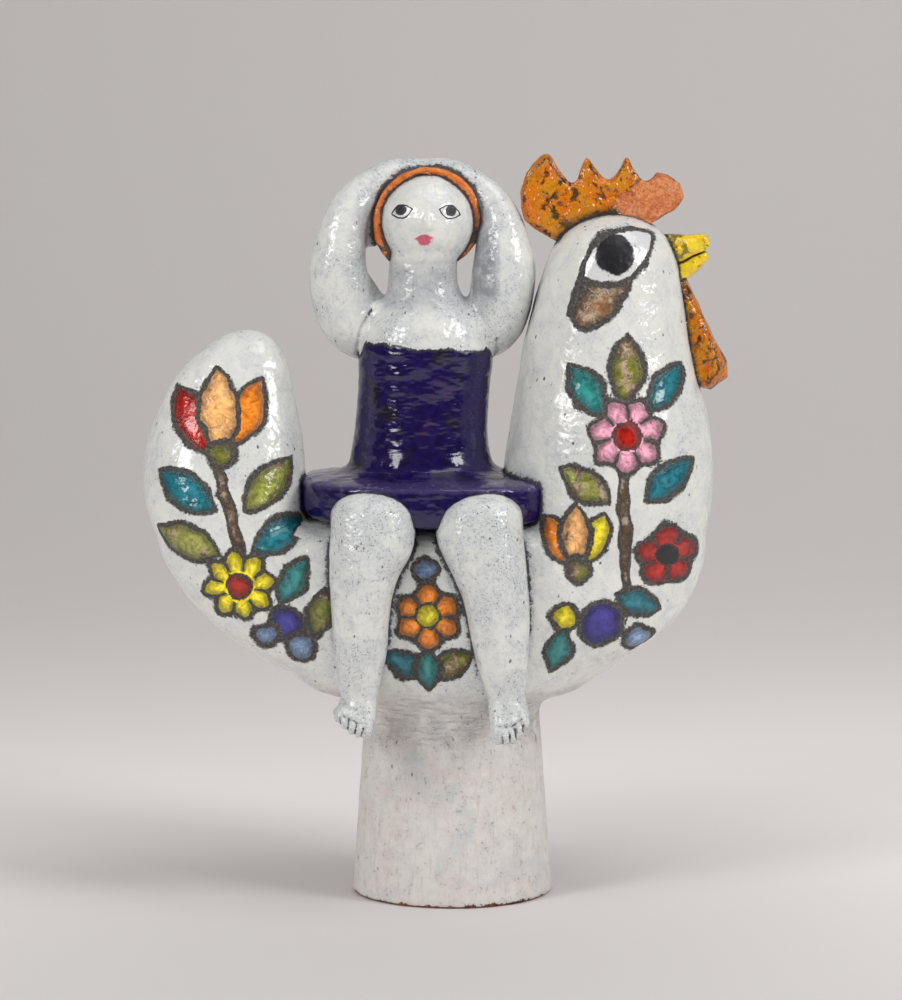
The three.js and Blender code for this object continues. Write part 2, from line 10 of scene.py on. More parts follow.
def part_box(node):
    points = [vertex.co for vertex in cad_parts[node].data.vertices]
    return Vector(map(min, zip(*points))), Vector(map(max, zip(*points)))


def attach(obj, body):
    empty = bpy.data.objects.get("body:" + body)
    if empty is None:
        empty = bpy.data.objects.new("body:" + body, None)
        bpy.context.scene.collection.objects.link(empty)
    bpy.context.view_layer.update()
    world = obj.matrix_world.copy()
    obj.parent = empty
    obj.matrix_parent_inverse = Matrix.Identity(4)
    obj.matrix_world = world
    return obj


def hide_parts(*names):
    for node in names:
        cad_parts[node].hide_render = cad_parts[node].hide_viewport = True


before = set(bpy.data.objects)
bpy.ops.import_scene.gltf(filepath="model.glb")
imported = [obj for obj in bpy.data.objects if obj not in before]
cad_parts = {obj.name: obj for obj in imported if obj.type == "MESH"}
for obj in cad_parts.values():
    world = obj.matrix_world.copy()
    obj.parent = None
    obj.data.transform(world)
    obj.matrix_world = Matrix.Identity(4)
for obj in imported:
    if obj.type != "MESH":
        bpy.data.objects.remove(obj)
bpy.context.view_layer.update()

MM = 0.001
FOOT_LOW, FOOT_HIGH = (Vector(corner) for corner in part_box("pedestal"))
AXIS = Vector(((FOOT_LOW.x + FOOT_HIGH.x) / 2, (FOOT_LOW.y + FOOT_HIGH.y) / 2, 0.0))
BELLY = 101.0  # heights in millimetres above the floor
SADDLE = 205.0
RIDER = -15.0  # rider's middle from the pedestal's axis
HEAD = (-13.3, 0.0, 363.2)
FAR = 99.0  # millimetres, for a point that has nothing near it


# Clay forms


def place(x, y, z):
    """Millimetres from the pedestal's axis, as a point in the frame."""
    return AXIS + Vector((x, y, z)) * MM


def spot_of(v):
    """A point of a skin, back in millimetres from the pedestal's axis."""
    return (v.co - AXIS) / MM


def clamp(share):
    return max(0.0, min(1.0, share))


def shown(name, data):
    """An object in the scene for a mesh, a lamp or a camera."""
    thing = bpy.data.objects.new(name, data)
    bpy.context.scene.collection.objects.link(thing)
    return thing


def mesh_of(name, bm):
    mesh = bpy.data.meshes.new(name)
    bm.to_mesh(mesh)
    bm.free()
    return mesh


def between(rows, at):
    """Smooth values between the rows of a table whose first column runs upward."""
    i = next((k for k in range(1, len(rows) - 1) if at < rows[k][0]), len(rows) - 1)
    low, high = rows[i - 1], rows[i]
    span = high[0] - low[0]
    t = (at - low[0]) / span

    def slope(k):
        a, b = rows[max(k - 1, 0)], rows[min(k + 1, len(rows) - 1)]
        return [(q - p) / (b[0] - a[0]) * span for p, q in zip(a[1:], b[1:])]

    weights = (2 * t**3 - 3 * t**2 + 1, t**3 - 2 * t**2 + t, 3 * t**2 - 2 * t**3, t**3 - t**2)
    terms = zip(low[1:], slope(i - 1), high[1:], slope(i))
    return [sum(w * v for w, v in zip(weights, four)) for four in terms]


def ball(bm, sides, rings):
    return bmesh.ops.create_uvsphere(bm, u_segments=sides, v_segments=rings, radius=1.0)["verts"]


def on_ball(v):
    """How far up a unit ball a point lies, from 0 to 1, and its turn round the ball."""
    return 1 - math.acos(max(-1.0, min(1.0, v.co.z))) / math.pi, math.atan2(v.co.y, v.co.x)


def on_ring(x, y, z, wide, deep, turn, fullness):
    """A point of a level ring: fullness 2 gives an ellipse, more gives squarer corners."""

    def fuller(value):
        return math.copysign(abs(value) ** (2 / fullness), value)

    return place(x + wide * fuller(math.cos(turn)), y + deep * fuller(math.sin(turn)), z)


def ring_plan(share, low_round, high_round, length, cap=0.2):
    """How far up a skin a ring lies, and how wide it is there, with round or flat ends."""
    edge = cap if low_round else 0.001
    top = 1 - (cap if high_round else 0.001)
    if share <= edge:
        turn = share / edge * math.pi / 2
        return low_round * (1 - math.cos(turn)), math.sin(turn)
    if share >= top:
        turn = (1 - share) / (1 - top) * math.pi / 2
        return length - high_round * (1 - math.cos(turn)), math.sin(turn)
    span = length - low_round - high_round
    return low_round + span * (share - edge) / (top - edge), 1.0


def upright(bm, rows, low_round=0.0, high_round=0.0, fullness=2.0, sides=56):
    """A closed skin of level rings. Rows: height, x, y, half width, half depth."""
    low, high = rows[0][0], rows[-1][0]
    for v in ball(bm, sides, 48):
        share, turn = on_ball(v)
        up, size = ring_plan(share, low_round, high_round, high - low)
        x, y, wide, deep = between(rows, low + up)
        v.co = on_ring(x, y, low + up, size * wide, size * deep, turn, fullness)


def rolled(bm, stops, sides=32, rings=40, cap=0.16, flat=1.0):
    """A roll of clay along stops x, y, z, radius, round at both ends."""
    rows = [(float(i), *stop) for i, stop in enumerate(stops)]
    last = len(stops) - 1.0
    for v in ball(bm, sides, rings):
        share, turn = on_ball(v)
        size = ring_plan(share, 0.0001, 0.0001, 1.0, cap)[1]
        at = clamp((share - cap * 0.5) / (1 - cap)) * last
        *middle, radius = between(rows, at)
        ahead = Vector(between(rows, min(at + 0.05, last))[:3])
        ahead -= Vector(between(rows, max(at - 0.05, 0))[:3])
        across = Vector((0, 1, 0)).cross(ahead).normalized()
        upward = ahead.cross(across).normalized()
        spread = across * math.cos(turn) + upward * math.sin(turn) * flat
        v.co = place(*(Vector(middle) + spread * radius * size))


def pellet(bm, x, y, z, wide, deep, high, turn=0.0):
    size = Matrix.Diagonal(Vector((wide, deep, high)) * MM).to_4x4()
    spot = Matrix.Translation(place(x, y, z)) @ Matrix.Rotation(turn, 4, "Y")
    bmesh.ops.transform(bm, matrix=spot @ size, verts=ball(bm, 32, 24))


def cut_slab(bm, outline, low_y, high_y):
    """A slab cut from an outline of x, z points."""
    corners = [bm.verts.new(place(x, low_y, z)) for x, z in outline]
    face = bm.faces.new(corners)
    grown = bmesh.ops.extrude_face_region(bm, geom=[face])["geom"]
    moved = [g for g in grown if isinstance(g, bmesh.types.BMVert)]
    bmesh.ops.translate(bm, verts=moved, vec=(0, (high_y - low_y) * MM, 0))
    bmesh.ops.recalc_face_normals(bm, faces=bm.faces)
    return corners


def stroked(bm, rounds, verts=None):
    """Smooths a skin as with a wet finger."""
    axes = {"use_axis_x": True, "use_axis_y": True, "use_axis_z": True}
    for _ in range(rounds):
        bmesh.ops.smooth_vert(bm, verts=verts or bm.verts, factor=0.5, **axes)
    bm.normal_update()


def pressed(bm, grain, rounds):
    """Presses overlapping forms into one closed skin and smooths the luted joins."""
    bmesh.ops.triangulate(bm, faces=bm.faces)
    mesh = mesh_of("forms", bm)
    lump = shown("forms", mesh)
    press = lump.modifiers.new("press", "REMESH")
    press.mode = "VOXEL"
    press.voxel_size = grain * MM
    skin = bmesh.new()
    skin.from_object(lump, bpy.context.evaluated_depsgraph_get())
    bpy.data.objects.remove(lump)
    bpy.data.meshes.remove(mesh)
    stroked(skin, rounds)
    return skin


def handled(bm, swells, seed):
    """Finger-made unevenness. Swells: height in mm, length in mm, stretch of the length along Z."""
    bm.normal_update()
    shift = Vector((seed * 1.7, seed * 0.9, seed * 2.3))
    moves = []
    for v in bm.verts:
        move = 0.0
        for height, length, tall in swells:
            spot = Vector((v.co.x, v.co.y, v.co.z / tall)) / (length * MM)
            move += height * noise.noise(spot + shift)
        moves.append(v.normal * move * MM)
    for v, move in zip(bm.verts, moves):
        v.co += move


def scored(bm, cut, depth):
    """Sinks the tooled lines kept on the layer cut."""
    for v in bm.verts:
        v.co -= v.normal * v[cut] * depth * MM


def made(name, bm, finish, slot, *nodes):
    bmesh.ops.recalc_face_normals(bm, faces=bm.faces)
    for face in bm.faces:
        face.smooth = True
    piece = shown(name, mesh_of(name, bm))
    piece.data.materials.append(finish)
    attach(piece, "root")
    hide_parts(*nodes)
    return piece


# Nodes for glazes


class Recipe:
    """Nodes of one glaze or one effect, added one after another."""

    def __init__(self, tree):
        self.tree = tree

    def add(self, kind, inputs=(), **settings):
        node = self.tree.nodes.new("ShaderNode" + kind)
        for key, value in settings.items():
            setattr(node, key, value)
        for key, value in dict(inputs).items():
            self.feed(node.inputs[key], value)
        return node

    def feed(self, socket, value):
        if isinstance(value, bpy.types.NodeSocket):
            self.tree.links.new(value, socket)
        elif hasattr(value, "__len__") and len(value) == 3 and len(socket.default_value) == 4:
            socket.default_value = (*value, 1.0)
        else:
            socket.default_value = value

    def math(self, operation, *values):
        return self.add("Math", enumerate(values), operation=operation).outputs[0]

    def times(self, a, b):
        return self.math("MULTIPLY", a, b)

    def plus(self, a, b):
        return self.math("ADD", a, b)

    def less(self, a, b):
        return self.math("SUBTRACT", a, b)

    def most(self, a, b):
        return self.math("MAXIMUM", a, b)

    def onto(self, value, share, base):
        """A share of a value, added to a base."""
        return self.math("MULTIPLY_ADD", value, share, base)

    def ragged(self, edge, drift, amount):
        """An edge that wanders with a noise."""
        return self.onto(self.less(drift, 0.5), amount, edge)

    def scaled(self, vector, share):
        return self.add("VectorMath", {0: vector, "Scale": share}, operation="SCALE").outputs[0]

    def mix(self, share, a, b):
        """Two colours, mixed by a share."""
        return self.add("Mix", {0: share, 6: a, 7: b}, data_type="RGBA", clamp_factor=True).outputs[2]

    def tint(self, colour, mask, share, other):
        """A share of another colour over the first one, where the mask is on."""
        return self.mix(self.times(mask, share), colour, other)

    def blend(self, share, a, b):
        """Two values, mixed by a share."""
        return self.add("Mix", {0: share, 2: a, 3: b}, data_type="FLOAT", clamp_factor=True).outputs[0]

    def ramp(self, value, low, high, start=0.0, end=1.0):
        ends = {"Value": value, "From Min": low, "From Max": high, "To Min": start, "To Max": end}
        return self.add("MapRange", ends, interpolation_type="SMOOTHSTEP").outputs[0]

    def fade(self, value, low, high):
        return self.ramp(value, low, high, 1.0, 0.0)

    def noise(self, vector, scale, detail=3.0, roughness=0.55, distortion=0.0):
        look = {"Vector": vector, "Scale": scale, "Detail": detail}
        look.update({"Roughness": roughness, "Distortion": distortion})
        return self.add("TexNoise", look).outputs[0]

    def cells(self, vector, scale):
        """Loose cells: the way to each one's middle, and three lots drawn for it."""
        grid = self.add("TexVoronoi", {"Vector": vector, "Scale": scale}, feature="F1").outputs
        return grid["Distance"], self.add("SeparateColor", {"Color": grid["Color"]}).outputs

    def stretch(self, vector, x, y, z):
        return self.add("Mapping", {"Vector": vector, "Scale": (x, y, z)}).outputs[0]

    def wobble(self, at, amount, scale):
        """Hand-drawn edges: the pattern's place shifts a little all over."""
        drift = self.add("TexNoise", {"Vector": at, "Scale": scale, "Detail": 3.0}).outputs["Color"]
        centred = self.add("VectorMath", {0: drift, 1: (0.5, 0.5, 0.5)}, operation="SUBTRACT").outputs[0]
        shift = self.scaled(centred, amount * MM)
        return self.add("VectorMath", {0: at, 1: shift}, operation="ADD").outputs[0]

    def axes(self, vector):
        return self.add("SeparateXYZ", {"Vector": vector}).outputs

    def kept(self, *names):
        """Values that a piece keeps on its own points."""
        found = [self.add("Attribute", attribute_name=name).outputs["Fac"] for name in names]
        return found if len(found) > 1 else found[0]

    def group(self, tree, **inputs):
        return self.add("Group", inputs, node_tree=tree).outputs


class Glaze(Recipe):
    """A material over the piece's own coordinates."""

    def __init__(self, name):
        self.material = bpy.data.materials.new(name)
        self.material.use_nodes = True
        super().__init__(self.material.node_tree)
        self.shader = next(n for n in self.tree.nodes if n.bl_idname == "ShaderNodeBsdfPrincipled")
        self.at = self.add("TexCoord").outputs["Object"]

    def fired(self, colour, rough, relief, depth):
        """Links colour, gloss and relief to the shader. Depth: millimetres for a relief of 1."""
        bump = self.add("Bump", {"Height": relief, "Distance": depth * MM, "Strength": 1.0}).outputs[0]
        for key, value in {"Base Color": colour, "Roughness": rough, "Normal": bump}.items():
            self.feed(self.shader.inputs[key], value)
        return self.material


VECTORS = ("Vector", "Middle", "Turn", "Size")
COLOURS = ("Color", "Glaze", "Below")


def effect(name, takes, gives):
    """An empty node group with named sockets, its recipe and its inputs."""
    tree = bpy.data.node_groups.new(name, "ShaderNodeTree")
    for way, names in (("INPUT", takes), ("OUTPUT", gives)):
        for socket in names.split():
            kind = "Vector" if socket in VECTORS else "Color" if socket in COLOURS else "Float"
            tree.interface.new_socket(name=socket, in_out=way, socket_type="NodeSocket" + kind)
    inputs = tree.nodes.new("NodeGroupInput").outputs
    return tree, Recipe(tree), inputs[: len(takes.split())]


def give(tree, **values):
    out = tree.nodes.new("NodeGroupOutput")
    for key, value in values.items():
        tree.links.new(value, out.inputs[key])
    return tree


LINE = 3.2  # resist line round a motif, in millimetres
UNDER_BELLY_SHADE = (0.25, 0.255, 0.26)


def speckle_effect():
    """Iron in the glaze: short dark ticks, and fine pepper where the glaze is thin."""
    tree, r, (at, thin) = effect("iron_specks", "Vector Thin", "Specks")
    way, lots = r.cells(r.stretch(r.wobble(at, 2.2, 330.0), 1.0, 1.0, 0.6), 270.0)
    drawn = r.math("LESS_THAN", lots[0], r.ramp(thin, 0.0, 1.2, 0.06, 0.5))
    dot = r.fade(r.less(way, r.onto(lots[1], 0.12, 0.05)), -0.03, 0.06)
    fine = r.ramp(r.plus(r.noise(at, 950.0, 2.0, 0.6), r.times(thin, 0.08)), 0.65, 0.75)
    pepper = r.times(fine, r.ramp(thin, 0.1, 1.1, 0.1, 0.7))
    return give(tree, Specks=r.most(r.times(drawn, dot), pepper))


def tin_glaze_effect():
    """White tin glaze: creamy where thick, blue grey where thin, dark iron gathered in the hollows."""
    sockets = "Vector Hollow Ridge Thin"
    tree, r, (at, hollow, ridge, coat) = effect("tin_glaze", sockets, "Color Roughness Height")
    slow = r.noise(at, 27.0, 3.0, 0.55)
    cloud = r.noise(at, 95.0, 5.0, 0.68, 0.8)
    grain = r.noise(at, 430.0, 4.0, 0.7)
    thin = r.onto(r.ramp(slow, 0.42, 0.66), 0.7, r.times(r.ramp(cloud, 0.44, 0.7), 0.6))
    thin = r.onto(thin, coat, r.times(r.ramp(hollow, 0.03, 0.6), 0.8))
    thin = r.math("MINIMUM", r.plus(thin, r.ramp(coat, 0.8, 1.8, 0.0, 0.42)), 1.05)
    white = r.mix(r.ramp(cloud, 0.35, 0.65), (0.670, 0.668, 0.620), (0.608, 0.615, 0.599))
    colour = r.tint(white, thin, 0.42, (0.46, 0.485, 0.515))
    scum = r.times(r.ramp(grain, 0.46, 0.7), r.onto(thin, 0.6, 0.06))
    colour = r.mix(scum, colour, (0.35, 0.37, 0.41))
    dots = r.group(SPECKS, Vector=at, Thin=thin)["Specks"]
    colour = r.tint(colour, dots, 0.85, (0.075, 0.076, 0.09))
    bare = r.times(r.ramp(ridge, 0.35, 0.95), r.ramp(grain, 0.4, 0.62))
    colour = r.tint(colour, bare, 0.3, (0.62, 0.55, 0.46))
    gather = r.ragged(hollow, r.noise(at, 360.0, 5.0, 0.8), 1.3)
    wash = r.times(r.ramp(gather, 0.60, 0.72), r.ramp(hollow, 0.25, 0.5))
    colour = r.tint(colour, r.ramp(gather, 0.30, 0.66), 0.34, (0.20, 0.21, 0.235))
    colour = r.tint(colour, wash, 0.93, (0.026, 0.024, 0.027))
    rough = r.onto(wash, 0.4, r.ramp(cloud, 0.3, 0.75, 0.09, 0.2))
    height = r.onto(r.noise(at, 120.0, 2.0, 0.5), 1.9, r.times(r.noise(at, 290.0, 2.0, 0.5), 0.5))
    height = r.onto(grain, 0.14, height)
    height = r.onto(dots, -0.1, height)
    return give(tree, Color=colour, Roughness=rough, Height=r.onto(wash, -0.3, height))


def outline_effect(name):
    """The way in metres to the edge of a leaf or a disc."""
    tree, r, (at, middle, turn, size) = effect(name, "Vector Middle Turn Size", "Distance")
    sockets = {"Vector": at, "Location": middle, "Rotation": turn, "Scale": size}
    u, _, v = r.axes(r.add("Mapping", sockets, vector_type="TEXTURE").outputs[0])
    width = r.axes(size)[2]
    if name == "leaf_outline":
        reach = r.plus(r.math("ABSOLUTE", v), r.times(u, u))
    else:
        reach = r.math("SQRT", r.plus(r.times(u, u), r.times(v, v)))
    return give(tree, Distance=r.times(r.less(reach, 1.0), width))


def laid_effect():
    """One motif over those below it: its glaze, and the way to its edge in millimetres."""
    sockets = "Distance Line Side Glaze Below Edge"
    tree, r, (gap, line, side, glaze, below, last) = effect("laid_motif", sockets, "Glaze Edge")
    here = r.times(r.math("LESS_THAN", gap, line), side)
    outside = r.times(r.math("DIVIDE", gap, line), LINE)
    edge = r.most(outside, r.math("MINIMUM", r.times(gap, 1 / MM), 0.0))
    return give(tree, Glaze=r.mix(here, below, glaze), Edge=r.blend(here, last, edge))


def resist_effect():
    """Coloured glaze pooled inside a dark, dry resist line, and crusted brown where it ran thin."""
    tree, r, inputs = effect("resist_line", "Vector Edge Glaze Dry Flat Shade Color", "Color Wet Height")
    at, edge, glaze, dry, flat, shade, ground = inputs
    grit = r.ramp(r.noise(at, 800.0, 3.0, 0.75), 0.35, 0.68)
    ink = r.fade(r.ragged(edge, grit, 0.9), LINE - 1.1, LINE - 0.1)
    fill = r.fade(r.onto(flat, -0.4, edge), -0.35, 0.15)
    depth = r.ramp(edge, -6.0, -0.3, 1.12, 0.5)
    tone = r.times(r.blend(flat, depth, 1.0), shade)
    pool = r.scaled(glaze, tone)
    line = r.mix(grit, (0.030, 0.026, 0.024), (0.115, 0.104, 0.094))
    crust = r.mix(r.ramp(tone, 0.35, 1.15), (0.085, 0.045, 0.024), (0.46, 0.33, 0.21))
    veins = r.math("ABSOLUTE", r.less(r.noise(at, 170.0, 3.0, 0.66, 0.3), 0.5))
    crust = r.mix(r.ramp(veins, 0.0, 0.03, 0.5, 0.0), crust, (0.055, 0.036, 0.024))
    crust = r.tint(crust, r.ramp(veins, 0.09, 0.16), 0.35, (0.60, 0.52, 0.42))
    colour = r.mix(fill, r.mix(ink, ground, line), r.mix(dry, pool, crust))
    matt = r.blend(fill, ink, r.times(dry, 0.6))
    pillow = r.times(r.ramp(edge, -3.0, -0.2, 0.1, -0.55), r.less(1.0, flat))
    pillow = r.onto(r.times(dry, r.ramp(veins, 0.0, 0.1)), 0.5, pillow)
    height = r.onto(r.times(matt, grit), 0.4, r.blend(fill, r.times(ink, -1.0), pillow))
    return give(tree, Color=colour, Wet=r.less(1.0, matt), Height=height)


def seam_effect():
    """Matt white dragged over the seam between belly and pedestal: level scrapes, and grey patches of painted
    shade under the belly.
    """
    tree, r, (at,) = effect("seam_white", "Vector", "Color Height")
    fine = r.noise(at, 170.0, 5.0, 0.68)
    colour = r.mix(r.ramp(fine, 0.35, 0.68), (0.62, 0.592, 0.566), (0.53, 0.513, 0.497))
    # painted shade: grey patches under the belly
    colour = r.tint(colour, r.ramp(r.noise(at, 46.0, 4.0, 0.6), 0.42, 0.62), 0.32, UNDER_BELLY_SHADE)
    scraped = r.ramp(r.noise(r.stretch(at, 95.0, 95.0, 520.0), 1.0, 5.0, 0.75, 0.6), 0.47, 0.68)
    colour = r.tint(colour, scraped, 0.26, (0.26, 0.26, 0.265))
    return give(tree, Color=colour, Height=r.times(scraped, -0.3))


SPECKS = speckle_effect()
TIN_GLAZE = tin_glaze_effect()
OUTLINES = {"LEAF": outline_effect("leaf_outline"), "DISC": outline_effect("disc_outline")}
LAID = laid_effect()
RESIST = resist_effect()
SEAM = seam_effect()

TEAL = (0.018, 0.17, 0.21)
SEA = (0.03, 0.23, 0.22)
OLIVE = (0.20, 0.20, 0.035)
MOSS = (0.29, 0.30, 0.06)
UMBER = (0.13, 0.075, 0.03)
PEACH = (0.86, 0.44, 0.16)
RED = (0.42, 0.012, 0.006)
ORANGE = (0.80, 0.23, 0.02)
YELLOW = (0.80, 0.66, 0.01)
PINK = (0.74, 0.34, 0.45)
INDIGO = (0.040, 0.032, 0.23)
PALE_BLUE = (0.21, 0.31, 0.50)
BROWN = (0.29, 0.15, 0.075)
WHITE = (0.575, 0.58, 0.58)
BLACK = (0.006, 0.006, 0.009)
IRIS = (0.020, 0.020, 0.026)
LIP = (0.70, 0.36, 0.40)
MOUTH = (0.50, 0.085, 0.13)
# How much of a glaze has crusted; the flat ones have none
DRYNESS = {OLIVE: 0.95, MOSS: 0.93, UMBER: 1.0, BROWN: 1.0, PEACH: 0.86, PALE_BLUE: 0.88}
DRYNESS.update({WHITE: 0.0, BLACK: 0.0})
USUAL_DRYNESS = 0.4
NO_MOTIF = 9.0  # way to the edge where no motif is near

# Shape or number of petals, x, height, turn, half length, half width, glaze, line if not LINE, back only
BIRD_MOTIFS = [
    # tail: a tulip over a stem of paired leaves, with a rosette and berries below
    ("LEAF", -117, 207, 106, 38, 2.6, UMBER, 1.4),
    ("LEAF", -138, 259, 118, 19, 8.5, RED),
    ("LEAF", -110, 262, 66, 19, 8.5, ORANGE),
    ("LEAF", -124, 264, 92, 21, 9.0, PEACH),
    ("DISC", -122.5, 241, 0, 6.5, 5.5, OLIVE),
    ("LEAF", -141, 222, 146, 17, 8.5, TEAL),
    ("LEAF", -98, 225, 48, 17, 8.0, MOSS),
    ("LEAF", -140, 195, 160, 17, 8.0, MOSS),
    ("LEAF", -92, 199, 34, 15, 7.0, TEAL),
    (8, -113, 172, 10, 18.5, 18.5, YELLOW),
    ("DISC", -113, 172, 0, 6.2, 6.2, RED, 1.2),
    ("LEAF", -84, 176, 60, 13, 6.0, SEA),
    ("DISC", -88, 152, 0, 8.0, 8.0, INDIGO),
    ("DISC", -99, 145, 0, 5.5, 5.0, PALE_BLUE),
    ("DISC", -80, 139, 0, 6.5, 6.0, PALE_BLUE),
    ("LEAF", -70, 158, 74, 13, 5.5, OLIVE),
    # belly, between the legs
    ("LEAF", -25, 131, 150, 12, 6.0, TEAL),
    ("LEAF", -1, 131, 30, 12, 6.0, OLIVE),
    ("LEAF", -13, 128, 90, 10, 5.0, SEA),
    (6, -13, 157, 30, 17.0, 17.0, ORANGE),
    ("DISC", -13, 157, 0, 6.5, 6.5, YELLOW, 1.2),
    ("DISC", -14, 182, 0, 5.0, 5.0, PALE_BLUE),
    # chest: a sprig with a rosette, a tulip and berries
    ("LEAF", 91, 205, 92, 44, 2.6, UMBER, 1.4),
    ("LEAF", 71, 276, 125, 15, 7.5, SEA),
    ("LEAF", 92, 287, 88, 17, 8.0, OLIVE),
    ("LEAF", 113, 277, 52, 14, 7.0, TEAL),
    (7, 92, 252, 12, 19.5, 19.5, PINK),
    ("DISC", 92, 252, 0, 6.8, 6.8, RED, 1.2),
    ("LEAF", 70, 226, 146, 15, 7.0, MOSS),
    ("LEAF", 114, 228, 40, 16, 7.5, TEAL),
    ("LEAF", 57, 196, 122, 15, 7.0, ORANGE),
    ("LEAF", 74, 197, 62, 15, 7.0, YELLOW),
    ("LEAF", 65, 199, 92, 16, 6.5, PEACH),
    ("DISC", 66, 181, 0, 5.5, 5.0, OLIVE),
    (5, 114, 188, 18, 16.0, 16.0, RED),
    ("DISC", 114, 188, 0, 5.5, 5.5, BLACK, 1.0),
    ("LEAF", 98, 163, 160, 12, 6.0, TEAL),
    ("DISC", 79, 152, 0, 10.5, 10.5, INDIGO),
    ("DISC", 59, 156, 0, 6.0, 6.0, YELLOW),
    ("LEAF", 56, 138, 70, 11, 5.5, SEA),
    ("DISC", 99, 143, 0, 6.5, 6.0, PALE_BLUE),
    # where the legs cover the front
    ("LEAF", -48, 178, 80, 16, 7.5, TEAL, LINE, True),
    ("DISC", -48, 150, 0, 9.5, 9.5, PINK, LINE, True),
    ("LEAF", 22, 180, 100, 16, 7.5, MOSS, LINE, True),
    ("DISC", 24, 152, 0, 10.0, 10.0, RED, LINE, True),
    # the bird's eye, the same on both sides
    ("DISC", 78.4, 324.4, 52, 18.4, 8.6, BROWN, 3.3),
    ("BAND", 68.6, 335, 69, 15, 1.3, BLACK, 2.4),
    ("LEAF", 87.2, 345.8, 31, 20.6, 11.3, WHITE, 4.7),
    ("DISC", 85.9, 347.2, 80, 10.6, 9.4, BLACK, 0.3),
]
EYE_LOW = 310  # motifs below this height end before the skin turns away

# Eyes and mouth of the rider: shape, x, height, turn, half length, half width, glaze
FACE_MOTIFS = [
    ("LEAF", -26.9, 369.4, 15, 6.1, 3.85, BLACK),
    ("LEAF", -26.9, 369.4, 15, 5.2, 3.1, WHITE),
    ("DISC", -27.4, 370.2, 0, 2.9, 2.9, IRIS),
    ("DISC", -27.1, 370.2, 0, 1.7, 1.7, BLACK),
    ("LEAF", -1.4, 369.2, -15, 6.1, 3.85, BLACK),
    ("LEAF", -1.4, 369.2, -15, 5.2, 3.1, WHITE),
    ("DISC", -0.8, 369.8, 0, 2.9, 2.9, IRIS),
    ("DISC", -0.6, 369.7, 0, 1.7, 1.7, BLACK),
    ("LEAF", -14.9, 355.0, 2, 5.6, 2.4, LIP),
    ("DISC", -14.8, 353.9, 0, 4.1, 2.7, LIP),
    ("LEAF", -15.1, 355.3, 3, 4.6, 1.8, MOUTH),
    ("DISC", -15.0, 353.9, 0, 3.3, 2.1, MOUTH),
]
FACE_LINE = 0.02


def inlaid(r, at, motifs, side):
    """Lays motifs over one another, and gives their glazes and the way to the nearest edge."""
    glaze, edge = WHITE, NO_MOTIF
    for shape, x, z, turn, long, wide, colour in motifs:
        spot = place(x, 0, z)
        sockets = {"Middle": (spot.x, 0.0, spot.z), "Turn": (0.0, -math.radians(turn), 0.0)}
        sockets["Size"] = (long * MM, 1.0, wide * MM)
        gap = r.group(OUTLINES[shape], Vector=at, **sockets)["Distance"]
        over = {"Glaze": colour, "Below": glaze, "Edge": edge}
        glaze, edge = r.group(LAID, Distance=gap, Line=FACE_LINE * MM, Side=side, **over)
    return glaze, edge


def matt_black(r, colour):
    """Black slip stays dull under the glaze."""
    return r.ramp(r.add("RGBToBW", {"Color": colour}).outputs[0], 0.01, 0.07, 0.42, 0.0)


def bird_glaze():
    r = Glaze("bird_white_glaze")
    at = r.at
    hollow, ridge = r.kept("hollow", "ridge")
    tin = r.group(TIN_GLAZE, Vector=at, Hollow=hollow, Ridge=ridge, Thin=0.8)
    # the belly's lowest band takes the seam's white and its painted shade
    low = r.fade(r.ragged(r.axes(at)[2], r.noise(at, 60.0, 4.0, 0.7), 0.02), 0.108, 0.121)
    seam = r.group(SEAM, Vector=at)
    white = r.mix(low, tin["Color"], seam["Color"])
    edge = r.ragged(r.kept("motif_edge"), r.noise(at, 330.0, 5.0, 0.8), 3.4)
    glaze = r.add("Attribute", attribute_name="motif_glaze").outputs
    flat = r.fade(glaze["Alpha"], 0.05, 0.3)
    shade = r.blend(flat, r.ramp(r.noise(at, 170.0, 4.0, 0.7, 1.4), 0.25, 0.75, 0.4, 1.4), 1.0)
    dry = r.ramp(r.plus(r.noise(at, 85.0, 4.0, 0.65), glaze["Alpha"]), 1.44, 1.56)
    paint = {"Glaze": glaze["Color"], "Dry": dry, "Flat": flat, "Shade": shade}
    colour, wet, height = r.group(RESIST, Vector=at, Edge=edge, Color=white, **paint)
    spots = r.group(SPECKS, Vector=at, Thin=0.55)["Specks"]
    colour = r.tint(colour, spots, 0.5, (0.05, 0.045, 0.045))
    rough = r.blend(wet, 0.75, r.blend(low, tin["Roughness"], 0.48))
    height = r.onto(seam["Height"], low, r.onto(tin["Height"], 0.6, height))
    return r.fired(colour, r.most(rough, matt_black(r, colour)), height, 0.8)


